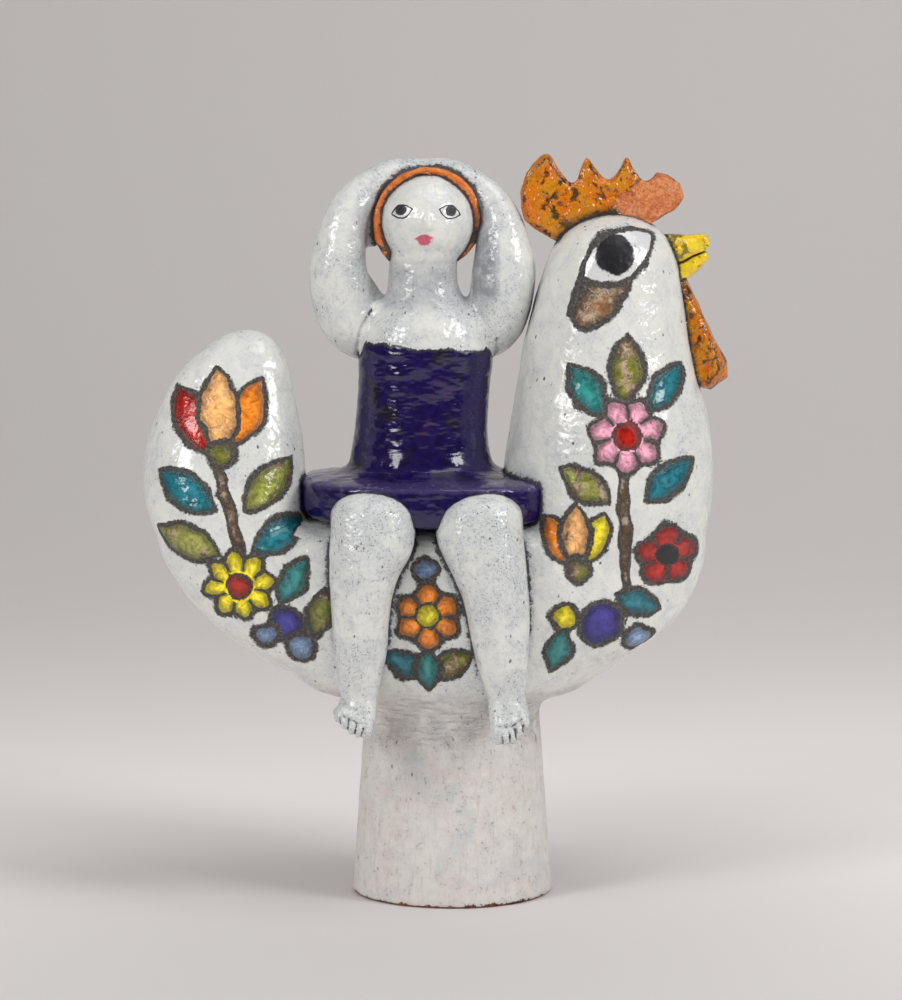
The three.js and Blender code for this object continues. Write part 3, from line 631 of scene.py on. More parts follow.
def rider_glaze():
    """White on head, arms and chest, with painted light on the face and painted shade under the chin, on the
    neck and inside the arms.
    """
    r = Glaze("rider_white_glaze")
    at = r.at
    hollow, ridge = r.kept("hollow", "ridge")
    across, side, up = r.axes(at)
    aside = r.math("ABSOLUTE", r.less(across, AXIS.x + HEAD[0] * MM))
    # painted shade falls on the neck, under the chin
    neck = r.times(r.ramp(up, 0.312, 0.324), r.fade(up, 0.336, 0.346))
    neck = r.times(neck, r.fade(aside, 0.019, 0.026))
    front = r.fade(side, AXIS.y - 0.012, AXIS.y - 0.006)
    # painted light: the face is whiter and takes less of the dark wash, fading out toward the chin
    face = r.times(r.times(front, r.fade(aside, 0.025, 0.027)), r.ramp(up, 0.348, 0.364))
    hollow = r.times(hollow, r.onto(face, -0.45, 1.0))
    shaded = r.most(neck, r.kept("inner"))
    # the glaze is drawn thinner and greyer where painted shade falls, and thicker and whiter on the face as
    # painted light
    thin = r.plus(r.onto(face, -0.75, 1.28), r.times(shaded, 0.5))
    tin = r.group(TIN_GLAZE, Vector=at, Hollow=hollow, Ridge=ridge, Thin=thin)
    # painted shade: grey mixed over the neck and inside the arms
    painted_shade = r.times(shaded, r.ramp(r.noise(at, 130.0, 5.0, 0.75), 0.3, 0.65, 0.22, 0.6))
    white = r.mix(painted_shade, tin["Color"], (0.25, 0.26, 0.28))
    shade = r.ramp(r.noise(at, 500.0, 3.0), 0.25, 0.75, 0.8, 1.15)
    glaze, edge = inlaid(r, r.wobble(at, 1.0, 420.0), FACE_MOTIFS, front)
    laid = r.group(RESIST, Vector=at, Edge=edge, Glaze=glaze, Flat=1.0, Shade=shade, Color=white)
    rough = r.most(tin["Roughness"], r.times(matt_black(r, laid["Color"]), 1.3))
    return r.fired(laid["Color"], rough, r.plus(tin["Height"], r.times(laid["Height"], 0.12)), 0.7)


def limb_glaze():
    r = Glaze("leg_white_glaze")
    hollow, ridge = r.kept("hollow", "ridge")
    tin = r.group(TIN_GLAZE, Vector=r.at, Hollow=hollow, Ridge=ridge, Thin=1.55)
    return r.fired(*tin, 0.7)


def pedestal_glaze():
    """Thin matt white over red clay: pink and grey patches, pits, brush marks, a bare foot edge, and painted
    shade toward the top under the belly.
    """
    r = Glaze("pedestal_matt_white")
    at = r.at
    up = r.axes(at)[2]
    cloud = r.noise(at, 58.0, 5.0, 0.68, 0.8)
    fine = r.noise(at, 170.0, 5.0, 0.68)
    colour = r.mix(r.ramp(fine, 0.35, 0.68), (0.632, 0.602, 0.575), (0.553, 0.534, 0.515))
    colour = r.tint(colour, r.ramp(cloud, 0.5, 0.68), 0.6, (0.585, 0.485, 0.462))
    colour = r.tint(colour, r.ramp(r.noise(at, 30.0, 4.0, 0.6, 1.0), 0.5, 0.7), 0.5, (0.45, 0.475, 0.48))
    brush = r.noise(r.stretch(at, 560.0, 560.0, 55.0), 1.0, 4.0, 0.65)
    colour = r.tint(colour, r.ramp(brush, 0.54, 0.74), 0.45, (0.40, 0.37, 0.35))
    # painted shade: grey patches growing toward the top, under the belly; gouges gather there too
    under_belly_shade = r.times(r.ramp(up, 0.066, 0.108), r.ramp(r.noise(at, 46.0, 4.0, 0.6), 0.42, 0.62))
    colour = r.tint(colour, under_belly_shade, 0.45, UNDER_BELLY_SHADE)
    high = r.ramp(up, 0.076, 0.096)
    seam = r.group(SEAM, Vector=at)
    colour = r.mix(high, colour, seam["Color"])
    way, lots = r.cells(r.stretch(r.wobble(at, 3.0, 260.0), 1.0, 1.0, 0.45), 135.0)
    gouged = r.fade(r.onto(lots[1], -0.15, way), 0.0, 0.09)
    gouged = r.times(gouged, r.math("LESS_THAN", lots[0], r.times(under_belly_shade, 0.4)))
    thin = r.onto(under_belly_shade, 0.5, r.ramp(fine, 0.44, 0.64, 0.14, 0.85))
    pits = r.most(r.group(SPECKS, Vector=at, Thin=thin)["Specks"], gouged)
    colour = r.tint(colour, pits, 0.56, (0.115, 0.085, 0.075))
    colour = r.tint(colour, r.ramp(r.kept("hollow"), 0.4, 1.0), 0.25, (0.20, 0.195, 0.19))
    edge = r.less(up, r.times(r.ramp(r.noise(at, 130.0, 5.0, 0.75), 0.46, 0.68), 0.0026))
    bare = r.fade(edge, 0.0007, 0.0011)
    grog = r.ramp(r.noise(at, 150.0, 4.0, 0.7), 0.4, 0.64)
    colour = r.mix(bare, colour, r.mix(grog, (0.05, 0.022, 0.015), (0.36, 0.10, 0.045)))
    rough = r.onto(bare, 0.3, r.ramp(cloud, 0.3, 0.7, 0.42, 0.6))
    relief = r.onto(fine, 0.7, r.times(brush, 0.45))
    relief = r.onto(pits, -0.7, relief)
    relief = r.onto(seam["Height"], high, relief)
    relief = r.onto(bare, -0.5, relief)
    return r.fired(colour, rough, r.onto(r.noise(at, 700.0, 3.0, 0.6), 0.3, relief), 0.8)


def violet_glaze():
    """Deep violet on the dress: black in patches, rubbed pale and with painted sheen on the brim and ridges,
    with a drawn neckline.
    """
    r = Glaze("dress_violet_glaze")
    at = r.at
    hollow, ridge, down, brim = r.kept("hollow", "ridge", "below_neckline", "brim")
    slow = r.noise(r.stretch(at, 52.0, 52.0, 44.0), 1.0, 4.0, 0.65, 0.8)
    fine = r.noise(at, 260.0, 4.0, 0.65)
    colour = r.mix(r.ramp(fine, 0.35, 0.7), (0.0055, 0.0022, 0.042), (0.013, 0.0050, 0.074))
    colour = r.tint(colour, r.ramp(r.noise(at, 70.0, 3.0), 0.56, 0.75), 0.5, (0.032, 0.0050, 0.062))
    colour = r.tint(colour, r.ramp(slow, 0.54, 0.66), 0.85, (0.012, 0.010, 0.0105))
    # worn pale on the brim and ridges, partly a painted reflection of the lamps on the brim's top
    wear_and_sheen = r.ragged(r.most(brim, r.times(ridge, 0.3)), fine, 1.2)
    colour = r.tint(colour, r.ramp(wear_and_sheen, 0.3, 0.95), 0.62, (0.058, 0.045, 0.125))
    # painted highlights: pale flecks on the brim and ridges
    brim_sheen = r.times(r.ramp(r.plus(brim, r.times(ridge, 0.4)), 0.7, 1.2), r.ramp(fine, 0.56, 0.72))
    colour = r.tint(colour, brim_sheen, 0.6, (0.30, 0.28, 0.38))
    drawn = r.ragged(down, r.noise(at, 300.0, 5.0, 0.8), 6.0)
    gather = r.ragged(hollow, r.noise(at, 360.0, 5.0, 0.8), 1.3)
    hem = r.most(r.fade(drawn, 2.0, 3.0), r.ramp(gather, 0.7, 0.85))
    colour = r.tint(colour, hem, 0.92, (0.018, 0.015, 0.014))
    colour = r.tint(colour, r.fade(drawn, 0.7, 1.3), 0.9, (0.58, 0.585, 0.58))
    rough = r.onto(hem, 0.3, r.ramp(fine, 0.3, 0.75, 0.07, 0.2))
    band = r.noise(r.stretch(at, 62.0, 62.0, 135.0), 1.0, 2.0, 0.45)
    return r.fired(colour, rough, r.onto(band, 1.9, r.times(fine, 0.14)), 1.0)


def orange_glaze(name, chip=None):
    """Amber glaze with iron patches. Attribute rim: millimetres from the edge of the face."""
    r = Glaze(name)
    at = r.at
    hollow, ridge, rim = r.kept("hollow", "ridge", "rim")
    slow = r.noise(at, 95.0, 4.0, 0.6)
    fine = r.noise(at, 420.0, 4.0, 0.7)
    drift = r.ragged(rim, r.noise(at, 230.0, 4.0, 0.7), 5.5)
    colour = r.mix(r.ramp(slow, 0.36, 0.66), (0.60, 0.150, 0.003), (0.54, 0.215, 0.005))
    colour = r.tint(colour, r.ramp(r.noise(at, 200.0, 3.0, 0.6), 0.5, 0.7), 0.55, (0.40, 0.095, 0.004))
    colour = r.tint(colour, r.fade(drift, 1.0, 2.4), 0.6, (0.46, 0.115, 0.012))
    thick = r.noise(at, 185.0, 3.0, 0.62, 0.4)
    colour = r.tint(colour, r.ramp(thick, 0.53, 0.64), 0.9, (0.034, 0.019, 0.009))
    dots = r.group(SPECKS, Vector=at, Thin=0.95)["Specks"]
    colour = r.tint(colour, dots, 0.85, (0.030, 0.016, 0.010))
    line = r.times(r.ramp(drift, 1.3, 1.8), r.fade(drift, 2.5, 3.0))
    line = r.times(line, r.ramp(r.noise(at, 110.0, 4.0, 0.7), 0.47, 0.56))
    colour = r.tint(colour, line, 0.9, (0.030, 0.024, 0.020))
    # pale on the ridges: worn tips, made brighter as painted glints
    wear_and_sheen = r.ramp(r.ragged(ridge, fine, 1.6), 0.6, 0.9)
    wear_and_sheen = r.times(wear_and_sheen, r.ramp(r.noise(at, 75.0, 3.0, 0.6), 0.46, 0.56))
    colour = r.tint(colour, wear_and_sheen, 0.75, (0.84, 0.54, 0.34))
    burnt = r.ragged(ridge, r.noise(at, 260.0, 5.0, 0.8), 2.2)
    colour = r.tint(colour, r.ramp(burnt, 0.9, 1.1), 0.85, (0.040, 0.026, 0.018))
    dark = r.ragged(hollow, fine, 1.3)
    colour = r.tint(colour, r.ramp(dark, 0.15, 0.6), 0.6, (0.13, 0.065, 0.012))
    colour = r.tint(colour, r.ramp(dark, 0.55, 0.8), 0.92, (0.032, 0.027, 0.024))
    rough = r.ramp(fine, 0.3, 0.7, 0.06, 0.14)
    relief = r.onto(r.noise(at, 190.0, 2.0), 3.0, r.times(fine, 0.25))
    relief = r.onto(line, -0.4, relief)
    relief = r.plus(relief, r.ramp(rim, 0.0, 3.4, -1.7, 0.0))
    if chip:
        shade = r.cells(r.wobble(at, 1.0, 900.0), 1050.0)[1][0]
        grain = r.ramp(r.blend(0.5, r.noise(at, 300.0, 4.0, 0.75), shade), 0.08, 0.88)
        clay = r.mix(grain, (0.70, 0.125, 0.028), (1.0, 0.405, 0.145))
        patch = r.noise(at, 125.0, 4.0, 0.7)
        clay = r.tint(clay, r.ramp(patch, 0.52, 0.66), 0.5, (0.52, 0.085, 0.022))
        clay = r.tint(clay, r.ramp(patch, 0.47, 0.36), 0.5, (1.0, 0.56, 0.33))
        grit = r.noise(at, 720.0, 3.0, 0.75)
        clay = r.tint(clay, r.ramp(grit, 0.57, 0.68), 0.42, (0.36, 0.060, 0.020))
        clay = r.tint(clay, r.ramp(grit, 0.44, 0.36), 0.6, (1.0, 0.52, 0.30))
        frayed = r.ragged(r.kept(chip), r.noise(at, 260.0, 5.0, 0.8), 1.5)
        colour = r.tint(colour, r.ramp(frayed, 0.2, 0.45), 0.35, (0.20, 0.075, 0.03))
        bare = r.ramp(frayed, 0.46, 0.54)
        colour = r.mix(bare, colour, clay)
        rough = r.blend(bare, rough, 0.85)
        crumb = r.onto(r.noise(at, 420.0, 5.0, 0.85), 3.0, r.times(shade, 1.1))
        relief = r.blend(bare, relief, crumb)
    return r.fired(colour, rough, relief, 0.8)


def yellow_glaze():
    """Yellow on the beak, olive toward its root."""
    r = Glaze("beak_yellow_glaze")
    at = r.at
    fine = r.noise(at, 380.0, 4.0, 0.7)
    colour = r.mix(r.ramp(r.noise(at, 150.0, 3.0), 0.35, 0.65), (0.80, 0.60, 0.026), (0.68, 0.44, 0.018))
    root = r.ramp(r.axes(at)[0], AXIS.x + 0.113, AXIS.x + 0.128, 0.13, 0.0)
    olive = r.ramp(r.plus(r.noise(at, 170.0, 5.0, 0.72, 0.5), root), 0.54, 0.63)
    colour = r.tint(colour, olive, 0.88, (0.11, 0.078, 0.012))
    dots = r.group(SPECKS, Vector=at, Thin=0.45)["Specks"]
    colour = r.tint(colour, dots, 0.75, (0.05, 0.035, 0.015))
    dark = r.ragged(r.kept("hollow"), fine, 0.9)
    colour = r.tint(colour, r.ramp(dark, 0.22, 0.66), 0.92, (0.035, 0.03, 0.022))
    relief = r.onto(r.noise(at, 210.0, 2.0), 1.9, r.times(fine, 0.16))
    return r.fired(colour, r.ramp(fine, 0.3, 0.7, 0.06, 0.16), relief, 0.8)


def hair_glaze():
    """Orange on the hair, sooty by the right cheek and in the hollows."""
    r = Glaze("hair_orange_glaze")
    at = r.at
    hollow = r.kept("hollow")
    fine = r.noise(at, 420.0, 4.0, 0.7)
    strand = r.noise(r.stretch(at, 240.0, 620.0, 240.0), 1.0, 3.0, 0.6)
    colour = r.mix(r.ramp(r.noise(at, 160.0, 3.0), 0.35, 0.65), (0.72, 0.205, 0.030), (0.56, 0.125, 0.015))
    colour = r.tint(colour, r.ramp(strand, 0.55, 0.72), 0.55, (0.22, 0.06, 0.015))
    ragged = r.noise(at, 230.0, 5.0, 0.8)
    across, _, up = r.axes(at)
    sooty = r.times(r.ramp(up, 0.350, 0.358, 0.42, 0.0), r.fade(across, AXIS.x - 0.034, AXIS.x - 0.027))
    dark = r.plus(r.ragged(hollow, ragged, 2.4), sooty)
    colour = r.tint(colour, r.ramp(dark, 0.26, 0.46), 0.93, (0.040, 0.038, 0.042))
    pale = r.times(r.ramp(ragged, 0.40, 0.32), r.ramp(hollow, 0.1, 0.4))
    colour = r.mix(pale, colour, (0.55, 0.50, 0.46))
    relief = r.onto(strand, 0.8, r.times(fine, 0.6))
    return r.fired(colour, r.ramp(fine, 0.3, 0.7, 0.14, 0.32), relief, 0.8)


def bare_clay():
    r = Glaze("bare_red_clay")
    at = r.at
    colour = r.mix(r.noise(at, 130.0, 5.0, 0.65), (0.27, 0.085, 0.04), (0.42, 0.16, 0.085))
    grit = r.ramp(r.noise(at, 900.0, 2.0), 0.6, 0.7)
    colour = r.tint(colour, grit, 0.5, (0.55, 0.30, 0.20))
    return r.fired(colour, r.ramp(grit, 0, 1, 0.88, 0.75), r.noise(at, 420.0, 5.0, 0.7), 0.8)


# The bird

# Height above the belly, x, half length, half depth
BODY_ROWS = [
    (0, -3, 66, 44), (15, -4.4, 78, 49), (37, -5, 112.5, 53), (49, -5.5, 127, 55), (77, -9.5, 144.5, 56),
    (104, -12, 151, 53),
]
# The same above the saddle
TAIL_ROWS = [
    (-55, -99, 26, 30), (-25, -114, 37, 41), (0, -120.7, 42.7, 45), (20, -122.7, 43.2, 41),
    (40, -122.5, 41.5, 35), (58, -120.8, 36.4, 28), (75, -118, 30.5, 22), (91, -113.2, 23, 16),
    (101, -110, 22, 14),
]
NECK_ROWS = [
    (-55, 73, 34, 38), (-25, 81, 48.5, 47), (0, 83.5, 55.5, 52), (25, 84, 56.5, 51), (50, 84.6, 53.2, 48),
    (76, 83.4, 47.7, 43), (98, 83.1, 43.6, 40), (131, 85.1, 36.4, 35), (149, 86.1, 31.5, 31.5),
    (163.5, 86.7, 30, 30),
]
# Fillet that lutes the belly to the pedestal: height above the floor
COLLAR_ROWS = [
    (86, 0, 45.4, 45.4), (97, 0, 46.9, 46.9), (103, 0, 48.2, 47.9), (108, 0, 49.8, 48.6),
    (112, 0, 52.4, 49.3), (118, 0, 59, 50.2),
]
# The same on the bird and its pedestal, so that the seam stays closed
SWELLS = [(0.8, 46, 1.3), (0.4, 17, 1), (0.14, 6, 1)]
SWELL_SEED = 3
TURNED_AWAY = 0.42  # a normal with less of Y than this has turned away from the side
HAND_DRIFT = 1.7  # millimetres by which a drawn edge wanders
EDGE_MIDDLE, EDGE_REACH = 0.8, 1.6  # the band along a motif's edge where the skin is finer


def motif_gap(shape, u, v, long, wide):
    """Millimetres outside a motif's edge, for places where its ends lie at 1."""
    reach = np.hypot(u, v)
    leaf = (np.abs(v) + u * u - 1) * wide
    if shape == "LEAF":
        return leaf
    if shape == "BAND":  # a stroke of resist with no glaze inside
        return np.maximum(leaf, 0.9)
    if shape == "DISC":
        return (reach - 1) * (reach + 1e-9) / (np.hypot(u / long, v / wide) + 1e-9 / wide)
    wave = np.cos(np.arctan2(v, u) * float(shape))
    part = np.where(reach > 0.45, (-wave - 0.86) * 0.22, -1.0)
    return np.maximum(reach - 0.9 - 0.1 * wave, part) * wide


def motif_edges(bm):
    """For each point of the bird, the millimetres to the edge of the nearest motif, and its glaze."""
    bm.normal_update()
    spots = np.array([spot_of(v) for v in bm.verts])
    turned = np.clip(TURNED_AWAY - np.abs([v.normal.y for v in bm.verts]), 0, 1) * 60
    other = Vector((9, 4, 7))
    drift = [(noise.noise(v.co * 115), noise.noise(v.co * 115 + other)) for v in bm.verts]
    x, z = (spots[:, [0, 2]] + np.array(drift) * HAND_DRIFT).T
    edge = np.full(len(spots), NO_MOTIF)
    best = np.full(len(spots), FAR)
    glaze = np.tile((*WHITE, 0.0), (len(spots), 1))
    for shape, cx, cz, turn, long, wide, colour, *rest in BIRD_MOTIFS:
        line = rest[0] if rest else LINE
        c, s = math.cos(math.radians(turn)), math.sin(math.radians(turn))
        u = ((x - cx) * c + (z - cz) * s) / long
        v = ((z - cz) * c - (x - cx) * s) / wide
        gap = motif_gap(shape, u, v, long, wide)
        if cz < EYE_LOW:
            gap = gap + turned
        if len(rest) > 1:  # on the back only
            gap = np.where(spots[:, 1] > 0, gap, FAR)
        way = np.where(gap < 0, gap, gap / line * LINE)
        closer = way < best
        best = np.where(closer, way, best)
        here = gap < line
        way = np.where(edge < LINE, np.minimum(way, LINE - 1.4), way)
        glaze[closer & (edge > LINE) | here] = (*colour, DRYNESS.get(colour, USUAL_DRYNESS))
        edge = np.where(here, way, np.minimum(edge, np.maximum(way, LINE)))
    return edge, glaze


def lifted(rows, up, grow=0.0):
    """Rows of a form on the bird's middle plane, at their height and grown all round."""
    return [(z + up, x, 0, wide + grow, deep + grow) for z, x, wide, deep in rows]


def bird():
    bm = bmesh.new()
    upright(bm, lifted(BODY_ROWS, BELLY, grow=0.5), low_round=14, high_round=13, fullness=2.5, sides=72)
    upright(bm, lifted(TAIL_ROWS, SADDLE, grow=0.8), high_round=20, fullness=2.35)
    upright(bm, lifted(NECK_ROWS, SADDLE, grow=0.6), high_round=22)
    upright(bm, lifted(COLLAR_ROWS, 0))
    skin = pressed(bm, grain=1.85, rounds=19)
    handled(skin, SWELLS, seed=SWELL_SEED)
    edges = motif_edges(skin)[0]
    skin.verts.index_update()
    way_off = np.abs(edges - EDGE_MIDDLE)
    fine = [e for e in skin.edges if min(way_off[v.index] for v in e.verts) < EDGE_REACH]
    bmesh.ops.subdivide_edges(skin, edges=fine, cuts=1, use_grid_fill=True)
    edges, glazes = motif_edges(skin)
    way = skin.verts.layers.float.new("motif_edge")
    colour = skin.verts.layers.float_color.new("motif_glaze")
    for v, edge, glaze in zip(skin.verts, edges, glazes):
        v[way] = edge
        v[colour] = glaze
    return made("bird", skin, bird_glaze(), "white_glaze", "bird_body", "bird_tail", "bird_neck")


# Radius and height down the outside and up the inside of the thrown cone
PEDESTAL_OUT = [
    (48.7, 112), (48.0, 108), (47.5, 104), (47.3, 100), (47.5, 96), (47.8, 92), (48.5, 86), (50.3, 61),
    (52.2, 33), (53.7, 12), (54.2, 4.5), (54.2, 2.2), (53.4, 0.7), (52.2, 0.0),
]
PEDESTAL_IN = [(48.6, 0.0), (47.6, 0.8), (46.9, 3.0), (44.6, 40), (41.3, 90), (40.2, 108)]


def pedestal():
    bm = bmesh.new()
    profile = [bm.verts.new(place(radius, 0, z)) for radius, z in PEDESTAL_OUT + PEDESTAL_IN]
    edges = [bm.edges.new(pair) for pair in zip(profile, profile[1:] + profile[:1])]
    bmesh.ops.subdivide_edges(bm, edges=[e for e in edges if e.calc_length() > 6 * MM], cuts=9)
    turn = {"angle": math.tau, "steps": 160, "use_merge": True, "use_duplicate": False}
    bmesh.ops.spin(bm, geom=bm.verts[:] + bm.edges[:], cent=AXIS, axis=(0, 0, 1), **turn)
    bmesh.ops.remove_doubles(bm, verts=bm.verts, dist=1e-6)
    bmesh.ops.recalc_face_normals(bm, faces=bm.faces)
    foot = [v for v in bm.verts if v.co.z < 0.4 * MM]
    stroked(bm, 2, [v for v in bm.verts if v.co.z > 6 * MM])
    handled(bm, SWELLS, seed=SWELL_SEED)
    for v in foot:
        v.co.z = 0.0
    for v in bm.verts:
        v.co.z = max(v.co.z, 0.0)
    return made("pedestal_cone", bm, pedestal_glaze(), "matte_white_glaze", "pedestal")


# Outline of the comb: x, height
COMB_OUTLINE = [
    (57, 352.6), (50.5, 355.6), (44, 359.6), (38.8, 365), (36.3, 372), (36.4, 380), (39, 388.5), (43.6, 395),
    (48.8, 399.3), (51.2, 399.7), (53.6, 397.4), (57.5, 391), (62, 385.2), (64.6, 384.2), (66.8, 386),
    (69.2, 392), (71.3, 397.8), (73.2, 397.4), (76.2, 392.4), (81, 387), (84, 386), (87, 388.4), (90.3, 394),
    (92.8, 398), (94.6, 397.2), (97.4, 391), (100.6, 386), (104.6, 385.2), (107.8, 387.2), (109.4, 389.8),
    (112.6, 389.4), (117, 387.8), (122.8, 383.9), (124.1, 376), (122.9, 373), (118.4, 368.6), (113.5, 366.1),
    (109.6, 363.6), (103, 360), (98, 356), (70, 350),
]
COMB_HALF = 5.6
COMB_POINTS, COMB_POINT_HEIGHT = 372, 26  # where the points begin, and how far they rise
CHIP_EDGE, CHIP_LOW, CHIP_HIGH = 87.6, 371, 376  # x of the bare clay's edge, upright between two heights


def outline_way(bm, outline):
    """For each point the millimetres, seen along Y, to the nearest edge of an outline."""
    spots = np.array([spot_of(v).xz for v in bm.verts])
    corners = np.array(outline, dtype=float)
    best = np.full(len(spots), FAR)
    for a, b in zip(corners, corners[1:]):
        run = b - a
        share = np.clip((spots - a) @ run / (run @ run), 0, 1)
        best = np.minimum(best, np.hypot(*(spots - a - share[:, None] * run).T))
    return best


def keep_rim(bm, outline):
    """Keeps on each point its way to the rim."""
    layer = bm.verts.layers.float.new("rim")
    for v, way in zip(bm.verts, outline_way(bm, outline)):
        v[layer] = way


def comb():
    bm = bmesh.new()
    cut_slab(bm, COMB_OUTLINE, -COMB_HALF, COMB_HALF)
    skin = pressed(bm, grain=0.8, rounds=7)
    for v in skin.verts:  # the slab thins toward its points
        point = clamp((spot_of(v).z - COMB_POINTS) / COMB_POINT_HEIGHT)
        v.co.y = AXIS.y + (v.co.y - AXIS.y) * (1.0 - 0.35 * point)
    keep_rim(skin, COMB_OUTLINE[1:-2])
    handled(skin, [(0.9, 14, 1), (0.5, 6, 1)], seed=21)
    skin.normal_update()
    bare = skin.verts.layers.float.new("chip")
    for v in skin.verts:  # the front lobe has lost its glaze and a flake of clay
        spot = spot_of(v)
        rim = 2.6 * noise.noise(spot * 0.2) + 1.6 * noise.noise(spot * 0.55)
        line = CHIP_EDGE + max(0.0, spot.z - CHIP_HIGH) * 1.3 + rim + max(0.0, CHIP_LOW - spot.z) * 1.1
        side = clamp(1.0 - (spot.y - 1.0) / 2.0)  # less toward the far side
        v[bare] = clamp((spot.x - line) / 5 + 0.45) * side
        crumb = 0.9 + 0.7 * noise.noise(spot * 0.35) + 0.35 * noise.noise(spot * 1.1)
        v.co -= v.normal * (clamp((spot.x - line) / 1.5) * side) * crumb * MM
    return made("comb_slab", skin, orange_glaze("comb_orange_glaze", "chip"), "orange_glaze", "comb")


# Halves of the beak along x, y, height, radius, and the flat of the upper one: x, height
UPPER_STOPS = [
    (104, 0, 348.6, 8.4), (118, 0, 348.3, 8.3), (127, 0, 350.6, 6.3), (134, 0, 352.4, 4.6),
    (137.4, 0, 352, 3.2),
]
UPPER_FLAT = [
    (106, 340.4), (117.5, 340.2), (123, 342.6), (137.6, 349.4), (137.8, 353.4), (134.4, 356.6), (118, 357),
    (106, 356.4),
]
LOWER_STOPS = [
    (104, 0, 335, 7), (117, 0, 335.4, 6.4), (124, 0, 337.4, 5.4), (131, 0, 342, 4), (137, 0, 346.2, 2.6),
]


def beaks():
    finish = yellow_glaze()
    bm = bmesh.new()
    rolled(bm, UPPER_STOPS, cap=0.12)
    cut_slab(bm, UPPER_FLAT, -4.4, 4.4)
    upper = pressed(bm, grain=0.7, rounds=5)
    handled(upper, [(0.6, 9, 1), (0.4, 4, 1)], seed=31)
    bm = bmesh.new()
    rolled(bm, LOWER_STOPS, cap=0.12)
    lower = pressed(bm, grain=0.6, rounds=4)
    handled(lower, [(0.45, 8, 1), (0.25, 3.5, 1)], seed=37)
    return (
        made("beak_upper", upper, finish, "yellow_glaze", "upper_beak"),
        made("beak_lower", lower, finish, "yellow_glaze", "lower_beak"),
    )


# Wattle seen from the side, x, height: its full outline, and the flat face that is cut smaller
WATTLE_FULL = [
    (117, 336), (126, 333.6), (138.6, 306), (148.8, 288), (149, 279), (140, 272.4), (130, 274.2), (122, 292),
    (117, 314),
]
WATTLE_FACE = [
    (117, 335.6), (125, 332.6), (137.4, 306), (145, 288.2), (144, 281), (138.6, 275), (130, 276.2),
    (122, 293), (117, 314),
]
WATTLE_FRONT, WATTLE_BACK = -6.4, 5.2


def wattle():
    bm = bmesh.new()
    corners = cut_slab(bm, WATTLE_FULL, WATTLE_FRONT, WATTLE_BACK)
    for v, (x, z) in zip(corners, WATTLE_FACE):
        v.co = place(x, WATTLE_FRONT + max(0.0, z - 300) * 0.07, z)
    skin = pressed(bm, grain=0.8, rounds=4)
    keep_rim(skin, WATTLE_FACE[1:7])
    handled(skin, [(0.6, 14, 1), (0.4, 6, 1)], seed=41)
    return made("wattle_slab", skin, orange_glaze("wattle_orange_glaze"), "orange_glaze", "wattle")


# The rider

# Chest and neck: height above the saddle, x, half width, half depth
CHEST_ROWS = [
    (74, RIDER - 0.2, 34.2, 30.4), (89, RIDER + 1, 35.0, 30.6), (103, RIDER + 1, 33, 28),
    (113, RIDER + 0.5, 25, 23), (121, RIDER - 0.5, 19.6, 18.5), (133, RIDER - 0.8, 18.2, 17),
    (144, RIDER - 0.2, 17.7, 16.5),
]
# Arms from the chest to the hands: way out from the rider's middle, y, height, radius
ARM_STOPS = [
    (12, 4, 303, 14), (27, 3, 302.5, 15), (39, 1.5, 311, 16.6), (45, -1, 334, 15.8), (43.6, -1, 353, 13.9),
    (39.4, 0, 368, 11.4), (31, 5, 379, 10.4), (16, 10, 387.2, 9.5), (0, 13, 389.4, 7.9), (-9, 14.5, 388.4, 7),
]
# How much slimmer each arm is along those stops, on the side of the head
ARM_FITS = {-1: [0.0] * len(ARM_STOPS), 1: [0, 0, 0, -1.7, -0.7, 1.2, 1.2, 0, 0, 0]}
# Web of clay between the right forearm and the hair, and the fold of that arm: x, y, height, radius
ARM_WEB = [(-43.2, 6, 380, 6.5), (-43.6, 6, 364, 6.0), (-44.6, 6, 349.6, 4.8)]
ARM_FOLD = [(-53, 2, 342, 5.0), (-50, 2, 333.5, 5.6), (-41.6, 2, 320.6, 5.6), (-36, 2, 312, 6.0)]
# Tooled lines where the arms join the chest, seen from the front: x, height
ARM_CREASES = [[(-43.0, 317.5), (-49.4, 306.4), (-51.2, 296), (-50.6, 287)], [(23.6, 301), (22.6, 287)]]
CREASE_HALF = 1.5


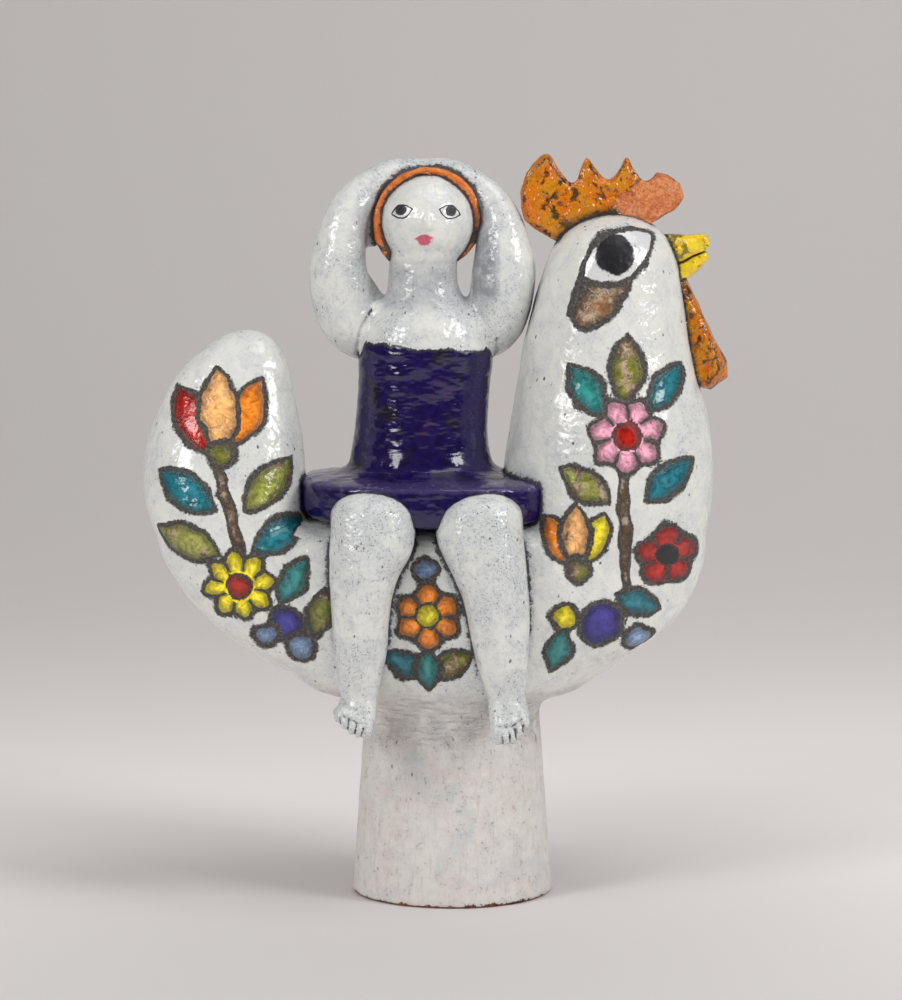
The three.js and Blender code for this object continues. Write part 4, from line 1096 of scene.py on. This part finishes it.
def rider_body():
    bm = bmesh.new()
    upright(bm, lifted(CHEST_ROWS, SADDLE, grow=0.3))
    pellet(bm, *HEAD, 25.2, 24.6, 25.8)
    pellet(bm, HEAD[0] - 0.5, -6.6, 346.5, 15.5, 13.0, 9.0)  # chin
    pellet(bm, HEAD[0], -23.6, 364.6, 2.6, 3.2, 4.6)  # nose
    pellet(bm, HEAD[0], -24.0, 361.6, 3.0, 3.0, 2.2)
    for side, fits in ARM_FITS.items():
        stops = [(out + fit, y, z, radius - fit) for (out, y, z, radius), fit in zip(ARM_STOPS, fits)]
        rolled(bm, [(RIDER - 1 + side * out, y, z, radius) for out, y, z, radius in stops], rings=80)
        pellet(bm, RIDER - 0.5 + side * 24.5, 0, 315.5, 8.5, 11.5, 6.5, side * 0.5)  # top of the shoulder
        pellet(bm, HEAD[0] + side * 13, 21.5, 387.4, 12.6, 7.0, 8.0)  # hand
        for finger in range(4):
            lean = side * 0.06 * (finger - 1.5)
            pellet(bm, HEAD[0] + side * 4.5, 24.5, 392.8 - finger * 3.9, 8.5, 3.4, 2.1, lean)
    rolled(bm, ARM_WEB)
    rolled(bm, ARM_FOLD)
    skin = pressed(bm, grain=1.05, rounds=7)
    handled(skin, [(0.55, 24, 1.2), (0.28, 9, 1)], seed=51)
    skin.normal_update()
    # inner keeps where the rider's glaze gets painted shade
    inner, cut = skin.verts.layers.float.new("inner"), skin.verts.layers.float.new("cut")
    for v in skin.verts:
        aside = (v.co.x - AXIS.x) / MM - HEAD[0]
        up = v.co.z / MM
        if abs(aside) > 27:  # the sides of the arms that face the head get painted shade
            v[inner] = clamp(-math.copysign(1, aside) * v.normal.x * 1.6 - 0.2)
        if aside > 24:  # a patch of painted shade on the inner side of the left arm
            flat = clamp((39 - aside) / 4) * clamp(min((up - 318) / 8, (366 - up) / 8))
            v[inner] = max(v[inner], 2.0 * flat)
    for crease in ARM_CREASES:
        for v, way in zip(skin.verts, outline_way(skin, crease)):
            if v.normal.y < 0.1 and way < CREASE_HALF:
                v[cut] = max(v[cut], 0.7 * (1 - way / CREASE_HALF))
    scored(skin, cut, depth=1.57)
    arms = ("right_arm", "left_arm", "right_hand", "left_hand")
    return made("rider_body", skin, rider_glaze(), "white_glaze", "rider_head", "rider_nose", *arms)


def hair():
    bm = bmesh.new()
    pellet(bm, HEAD[0] + 0.4, 0.6, HEAD[2] + 0.2, 29.9, 28.6, 29.2)
    for spot, way in ((place(0, -4.0, HEAD[2]), (0, 1, 0.06)), (place(0, 0, 342), (0, 0, 1))):
        everything = bm.verts[:] + bm.edges[:] + bm.faces[:]
        bmesh.ops.bisect_plane(bm, geom=everything, plane_co=spot, plane_no=way, clear_inner=True)
    bmesh.ops.holes_fill(bm, edges=bm.edges[:], sides=0)
    skin = pressed(bm, grain=0.95, rounds=5)
    middle = AXIS.x + MM * HEAD[0]
    for v in skin.verts:  # slimmer toward the nape on the left, a little wider on the right
        drop = max(0.0, HEAD[2] - (v.co.z - AXIS.z) / MM) / 21
        slim = 0.2 if v.co.x > middle else -0.05
        v.co.x = middle + (v.co.x - middle) * (1 - slim * drop**1.8)
    handled(skin, [(0.7, 9, 1), (0.3, 4, 1)], seed=57)
    return made("hair_cap", skin, hair_glaze(), "hair_glaze", "rider_hair")


# Dress from hem to neckline: height, x, half width, half depth, fullness
DRESS_ROWS = [
    (203.5, -13, 64.5, 58.0, 2.6), (205.5, -13, 67.6, 61.0, 2.6), (211, -13, 68.6, 62.2, 2.6),
    (217, -13, 68.7, 62.2, 2.6), (221.4, -13, 68.3, 61.8, 2.6), (223.4, -13, 66.4, 60.0, 2.55),
    (224.8, -13.2, 61.0, 54.8, 2.5), (226.6, -14.2, 51.0, 45.8, 2.3), (229.4, -15.7, 43.2, 39.2, 2.15),
    (233.5, -16.8, 39.2, 35.9, 2.05), (240, -17.2, 37.3, 34.2, 2.0), (250, -17.0, 36.0, 32.7, 2.0),
    (262, -16.4, 35.4, 32.0, 2.0), (275, -15.5, 35.4, 31.8, 2.0), (286, -14.6, 35.9, 31.8, 2.0),
    (293.5, -14.0, 36.1, 31.8, 2.0), (296.6, -14.0, 35.2, 30.9, 2.0),
]
DRESS_CAP = 0.02  # share of the rings that closes each end
FLARE_TOP, NECKLINE_START = 235, 270  # heights where the flare ends and the neckline's lean begins


def dress():
    bm = bmesh.new()
    below = bm.verts.layers.float.new("below_neckline")
    brim = bm.verts.layers.float.new("brim")
    rows = [(float(i), *row) for i, row in enumerate(DRESS_ROWS)]
    last = len(rows) - 1.0
    for v in ball(bm, 180, 150):
        share, turn = on_ball(v)
        z, x, wide, deep, full = between(rows, clamp((share - DRESS_CAP) / (1 - 2 * DRESS_CAP)) * last)
        size = min(1.0, share / DRESS_CAP, (1 - share) / DRESS_CAP)
        front, right, left = (max(0.0, way) for way in (-math.sin(turn), -math.cos(turn), math.cos(turn)))
        v[below] = DRESS_ROWS[-1][0] - z
        # the brim's top, where the glaze gets painted sheen
        v[brim] = clamp((wide - 42) / 20) * clamp((z - 219) / 3)
        low = clamp((FLARE_TOP - z) / 10)
        neck = clamp((z - NECKLINE_START) / 24)
        waves = 0.5 * math.sin(7 * turn + 1.0) + 0.3 * math.sin(17 * turn)
        brim_lift = 1.8 * front**2 * (low * clamp((z - 205) / 12)) + low * (3.6 * right**2 + 1.6 * left**2)
        z += brim_lift + neck * (4.8 * right + 1.3 * front**2 - 0.1) - neck * waves
        v.co = on_ring(x, 0, z, size * wide, size * deep, turn, full)
    bmesh.ops.recalc_face_normals(bm, faces=bm.faces)
    handled(bm, [(0.55, 30, 1), (0.3, 14, 0.6), (0.12, 5, 0.8)], seed=61)
    return made("rider_dress", bm, violet_glaze(), "violet_glaze", "rider_torso", "rider_skirt")


# Height, x, y, half width, half depth from ankle to knee
LEG_ROWS = {
    "right": [
        (110, -49.2, -58, 9.4, 9.6), (117, -49.0, -59, 10.0, 10.8), (126, -48.9, -60, 11.9, 12.2),
        (140, -48.5, -60.4, 14.0, 14.2), (156, -48.3, -60.4, 15.2, 15.6), (168, -48.0, -60, 16.4, 16.8),
        (180, -46.4, -58.8, 18.6, 18.2), (191, -43.4, -57, 21.6, 19.4), (203, -42.0, -54.5, 22.4, 20.4),
        (213, -42.2, -52.4, 22.2, 20.6), (224, -42.4, -50.5, 20.8, 20.2),
    ],
    "left": [
        (110, 29.2, -58, 10.0, 9.6), (118, 28.2, -59, 11.0, 10.8), (133, 26.2, -60.2, 13.8, 13.4),
        (154, 24.6, -60.4, 16.2, 15.6), (168, 22.8, -60, 17.6, 16.8), (185, 18.2, -58, 20.8, 18.8),
        (195, 15.2, -56, 22.8, 19.8), (203, 14.2, -54.2, 23.1, 20.4), (213, 15.0, -52.4, 21.8, 20.6),
        (224, 15.6, -50.5, 19.4, 20.2),
    ],
}
# Toe tips from the big toe outward: x, height, and the same for both feet: y, radius
TOE_TIPS = {
    "right": [(-45.6, 97.0), (-49.6, 97.4), (-53.4, 99.0), (-57.2, 101.0), (-60.6, 103.4)],
    "left": [(24.0, 94.2), (28.1, 93.6), (32.2, 94.0), (35.8, 96.8), (38.8, 100.4)],
}
TOE_SIZES = [(-76, 3.1), (-77, 2.6), (-76.5, 2.5), (-74.8, 2.4), (-72.2, 2.3)]
TOE_CUT_HALF, TOE_CUT_TOP = 1.1, 116


def leg(name):
    bm = bmesh.new()
    rows = LEG_ROWS[name]
    upright(bm, rows, low_round=6, high_round=13, fullness=2.2)
    ankle = rows[1][1]
    outward = math.copysign(1, ankle)
    rays = []
    for i, ((x, z), (y, radius)) in enumerate(zip(TOE_TIPS[name], TOE_SIZES)):
        heel = ankle + outward * (i - 2) * 2.4
        ball_of_foot = (heel * 0.6 + x * 0.4, -64, 108.4, 4.7)
        knuckle = (heel * 0.25 + x * 0.75, -71, z + 4.0, radius + 0.9)
        rays.append([(heel, -55, 114, 5.4), ball_of_foot, knuckle, (x, y, z, radius)])
        rolled(bm, rays[-1], sides=24, rings=28, cap=0.22, flat=1.4)
    middle = TOE_TIPS[name][2][0]
    instep = [(ankle, -57.5, 128, 9.0), (ankle * 0.8 + middle * 0.2, -62.0, 116, 8.0)]
    rolled(bm, [*instep, (ankle * 0.4 + middle * 0.6, -67.0, 106.5, 5.6)])
    skin = pressed(bm, grain=0.7, rounds=6)
    handled(skin, [(0.55, 24, 1.4), (0.26, 9, 1)], seed=71 + len(name))
    skin.normal_update()
    cut = skin.verts.layers.float.new("cut")
    for pair in zip(rays, rays[1:]):  # the toes are parted with a knife
        near, far = (Vector(ray[3][:3]) for ray in pair)
        tip = (near + far) / 2
        root = (Vector(pair[0][2][:3]) + Vector(pair[1][2][:3])) / 2 * 0.6 + tip * 0.4
        run, apart = tip - root, (far - near).normalized()
        for v in skin.verts:
            spot = spot_of(v)
            if spot.z > TOE_CUT_TOP:
                continue
            share = max(0.0, min(1.25, (spot - root).dot(run) / run.length_squared))
            aside = spot - root - run * share
            across = abs(aside.dot(apart))
            if aside.length < 4.0 and across < TOE_CUT_HALF:
                v[cut] = max(v[cut], 1 - across / TOE_CUT_HALF)
    roots = [tuple(ray[1][k] * 0.35 + ray[2][k] * 0.65 for k in (0, 2)) for ray in rays]
    for v, way in zip(skin.verts, outline_way(skin, roots)):  # and marked off from the foot
        if v.normal.y < 0.0 and way < 1.2:
            v[cut] = max(v[cut], 0.8 - way / 1.5)
    scored(skin, cut, depth=0.9)
    return made(name + "_leg_and_foot", skin, LIMB_GLAZE, "white_glaze", name + "_leg", name + "_foot")


LIMB_GLAZE = limb_glaze()
BIRD = bird()
PEDESTAL = pedestal()
COMB = comb()
UPPER_BEAK, LOWER_BEAK = beaks()
WATTLE = wattle()
RIDER_BODY = rider_body()
HAIR = hair()
DRESS = dress()
RIGHT_LEG = leg("right")
LEFT_LEG = leg("left")

CLAY = bare_clay()
for node in ("pedestal_joint_coil", "tail_joint_coil", "neck_joint_coil"):
    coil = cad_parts[node]
    coil.data.materials.clear()
    coil.data.materials.append(CLAY)


# Hollows and ridges


def listed(items, name, width, kind=np.float32):
    """One property of all points or edges of a mesh, as rows."""
    values = np.empty(len(items) * width, dtype=kind)
    items.foreach_get(name, values)
    return values.reshape(-1, width)


def settle_wash(piece, fold, rounds, *neighbours):
    """Keeps on each point how far it lies in a fold or beside a neighbour, or stands on a ridge."""
    mesh = piece.data
    count = len(mesh.vertices)
    spots = listed(mesh.vertices, "co", 3)
    normals = listed(mesh.vertex_normals, "vector", 3)
    a, b = listed(mesh.edges, "vertices", 2, np.int32).T
    links = np.bincount(np.concatenate((a, b)), minlength=count).astype(np.float32)

    def spread(values):
        sums = [np.bincount(a, row[b], count) + np.bincount(b, row[a], count) for row in values.T]
        return np.stack(sums, 1) / links[:, None]

    soft = spots.copy()
    for _ in range(rounds):
        soft = 0.5 * soft + 0.5 * spread(soft)
    rise = ((soft - spots) * normals).sum(1) / (fold * MM)
    hollow = np.clip(rise, 0, 1)
    if "cut" in mesh.attributes:
        hollow = np.maximum(hollow, listed(mesh.attributes["cut"].data, "value", 1)[:, 0])
    for other, reach in neighbours:
        bm = bmesh.new()
        bm.from_mesh(other.data)
        tree = BVHTree.FromBMesh(bm)
        bm.free()
        corners = np.array([v[:] for v in other.bound_box])
        near = ((spots > corners.min(0) - reach * MM) & (spots < corners.max(0) + reach * MM)).all(1)
        for i in np.nonzero(near)[0]:
            gap = tree.find_nearest(Vector(spots[i]), reach * MM)[3]
            if gap is not None:
                hollow[i] = max(hollow[i], 1 - gap / (reach * MM))
    for name, values in (("hollow", hollow), ("ridge", np.clip(-rise, 0, 1))):
        blurred = values[:, None]
        for _ in range(2):
            blurred = 0.6 * blurred + 0.4 * spread(blurred)
        layer = mesh.attributes.new(name, "FLOAT", "POINT")
        layer.data.foreach_set("value", blurred[:, 0].astype(np.float32))


# Depth of a full fold in millimetres, rounds of smoothing that find it, and each neighbour with the
# millimetres over which the wash gathers beside it
BESIDE_HEAD = [(COMB, 7), (UPPER_BEAK, 4), (LOWER_BEAK, 4), (WATTLE, 4)]
settle_wash(BIRD, 1.0, 14, (RIGHT_LEG, 6), (LEFT_LEG, 6), (DRESS, 5), *BESIDE_HEAD, (RIDER_BODY, 6))
settle_wash(PEDESTAL, 0.8, 10, (RIGHT_LEG, 4), (LEFT_LEG, 4))
settle_wash(COMB, 0.7, 10, (BIRD, 6.5))
settle_wash(UPPER_BEAK, 0.5, 8, (BIRD, 2.2), (LOWER_BEAK, 2.2))
settle_wash(LOWER_BEAK, 0.5, 8, (BIRD, 2), (UPPER_BEAK, 2), (WATTLE, 2))
settle_wash(WATTLE, 0.6, 8, (BIRD, 3), (LOWER_BEAK, 3))
settle_wash(RIDER_BODY, 0.75, 16, (HAIR, 5.5), (BIRD, 3.6), (COMB, 3.6))
settle_wash(HAIR, 0.6, 8, (RIDER_BODY, 1.7))
settle_wash(DRESS, 0.8, 12, (RIGHT_LEG, 2.5), (LEFT_LEG, 2.5), (BIRD, 2.5), (RIDER_BODY, 1.2))
for one_leg in (RIGHT_LEG, LEFT_LEG):
    settle_wash(one_leg, 0.5, 12, (BIRD, 3.6), (DRESS, 2.4), (PEDESTAL, 3.6))


# Stage, light and camera

# Floor, cove and wall in metres: y, height
PAPER_SECTION = [
    (-3.2, 0.0), (-1.2, 0.0), (-0.2, 0.0), (0.35, 0.0), (0.9, 0.0), (1.25, 0.03), (1.55, 0.14), (1.8, 0.36),
    (1.95, 0.7), (2.0, 1.2), (2.0, 3.6),
]
PAPER_WIDTH = 8.0


def paper_finish():
    """Pale paper, darker up the wall as painted shade; for the camera alone, painted shade toward the camera
    and to the left, painted light to the right and a painted shadow round the piece; clear from behind.
    """
    r = Glaze("paper_sweep")
    at = r.at
    across, back, _ = r.axes(at)
    # painted shade: the paper darkens from the floor up the wall
    colour = r.mix(r.ramp(back, 0.35, 1.6), (0.925, 0.887, 0.872), (0.765, 0.734, 0.719))
    # painted shade toward the camera, darker left and lighter right, and a painted shadow round the piece,
    # for camera rays only
    near = r.ramp(back, -0.45, 0.3, 0.62, 1.0)
    aside = r.ramp(across, -1.0, 1.0, 0.93, 1.06)
    way = r.add("VectorMath", {0: at, 1: tuple(AXIS)}, operation="DISTANCE").outputs["Value"]
    near = r.times(near, r.ramp(way, 0.06, 0.40, 0.835, 1.0))
    seen = r.add("LightPath").outputs["Is Camera Ray"]
    colour = r.scaled(colour, r.blend(seen, 1.0, r.times(near, aside)))
    colour = r.tint(colour, r.noise(at, 700.0, 2.0), 0.06, (0.5, 0.48, 0.47))
    for key, value in {"Base Color": colour, "Roughness": 0.75, "Specular IOR Level": 0.2}.items():
        r.feed(r.shader.inputs[key], value)
    clear = r.add("BsdfTransparent").outputs[0]
    rear = r.times(seen, r.add("NewGeometry").outputs["Backfacing"])
    sheet = r.add("MixShader", {0: rear, 1: r.shader.outputs[0], 2: clear}).outputs[0]
    output = next(n for n in r.tree.nodes if n.bl_idname == "ShaderNodeOutputMaterial")
    r.feed(output.inputs["Surface"], sheet)
    return r.material


def backdrop():
    """A seamless paper sweep."""
    bm = bmesh.new()
    path = [bm.verts.new((-PAPER_WIDTH / 2, y, z)) for y, z in PAPER_SECTION]
    edges = [bm.edges.new(pair) for pair in zip(path, path[1:])]
    grown = bmesh.ops.extrude_edge_only(bm, edges=edges)["geom"]
    moved = [g for g in grown if isinstance(g, bmesh.types.BMVert)]
    bmesh.ops.translate(bm, verts=moved, vec=(PAPER_WIDTH, 0, 0))
    bmesh.ops.recalc_face_normals(bm, faces=bm.faces)
    if sum(face.normal.z for face in bm.faces) < 0:
        bmesh.ops.reverse_faces(bm, faces=bm.faces)
    for face in bm.faces:
        face.smooth = True
    paper = shown("paper_sweep", mesh_of("paper_sweep", bm))
    paper.data.materials.append(paper_finish())
    smooth = paper.modifiers.new("curve", "SUBSURF")
    smooth.levels = smooth.render_levels = 2


LAMP_AIM = AXIS + Vector((0, 0, 0.22))


def softbox(name, azimuth, elevation, distance, width, height, watts):
    lamp = bpy.data.lights.new(name, "AREA")
    lamp.shape = "RECTANGLE"
    lamp.size, lamp.size_y = width, height
    lamp.energy = watts
    turn, rise = math.radians(azimuth), math.radians(elevation)
    way = Vector((math.sin(turn) * math.cos(rise), -math.cos(turn) * math.cos(rise), math.sin(rise)))
    box = shown(name, lamp)
    box.location = LAMP_AIM + way * distance
    box.rotation_euler = way.to_track_quat("Z", "Y").to_euler()


backdrop()
softbox("left_softbox", -46, 26, 1.5, 0.42, 0.62, 9.2)
softbox("right_softbox", 58, 30, 1.5, 0.42, 0.62, 10.7)
softbox("top_softbox", 60, 70, 1.6, 0.8, 0.8, 5.3)

world = bpy.data.worlds.new("studio")
world.use_nodes = True
sky = Recipe(world.node_tree)
glossy = sky.add("LightPath").outputs["Is Glossy Ray"]
fill = next(n for n in world.node_tree.nodes if n.bl_idname == "ShaderNodeBackground")
sky.feed(fill.inputs["Color"], (1.0, 0.995, 0.985))
sky.feed(fill.inputs["Strength"], sky.ramp(glossy, 0.0, 1.0, 0.41, 0.10))  # a dark room behind the lamps
bpy.context.scene.world = world
bpy.context.scene.view_settings.view_transform = "Standard"

CAMERA_SPOT = Vector((-0.0008, -2.1, 0.427))  # metres from the pedestal's axis
CAMERA_PITCH = 5.81  # degrees downward
lens = bpy.data.cameras.new("camera")
lens.sensor_width = 36.0
lens.lens = 140.6
lens.clip_end = 20.0
camera = shown("camera", lens)
camera.location = AXIS + CAMERA_SPOT
camera.rotation_euler = (math.radians(90 - CAMERA_PITCH), 0.0, 0.0)
bpy.context.scene.camera = camera
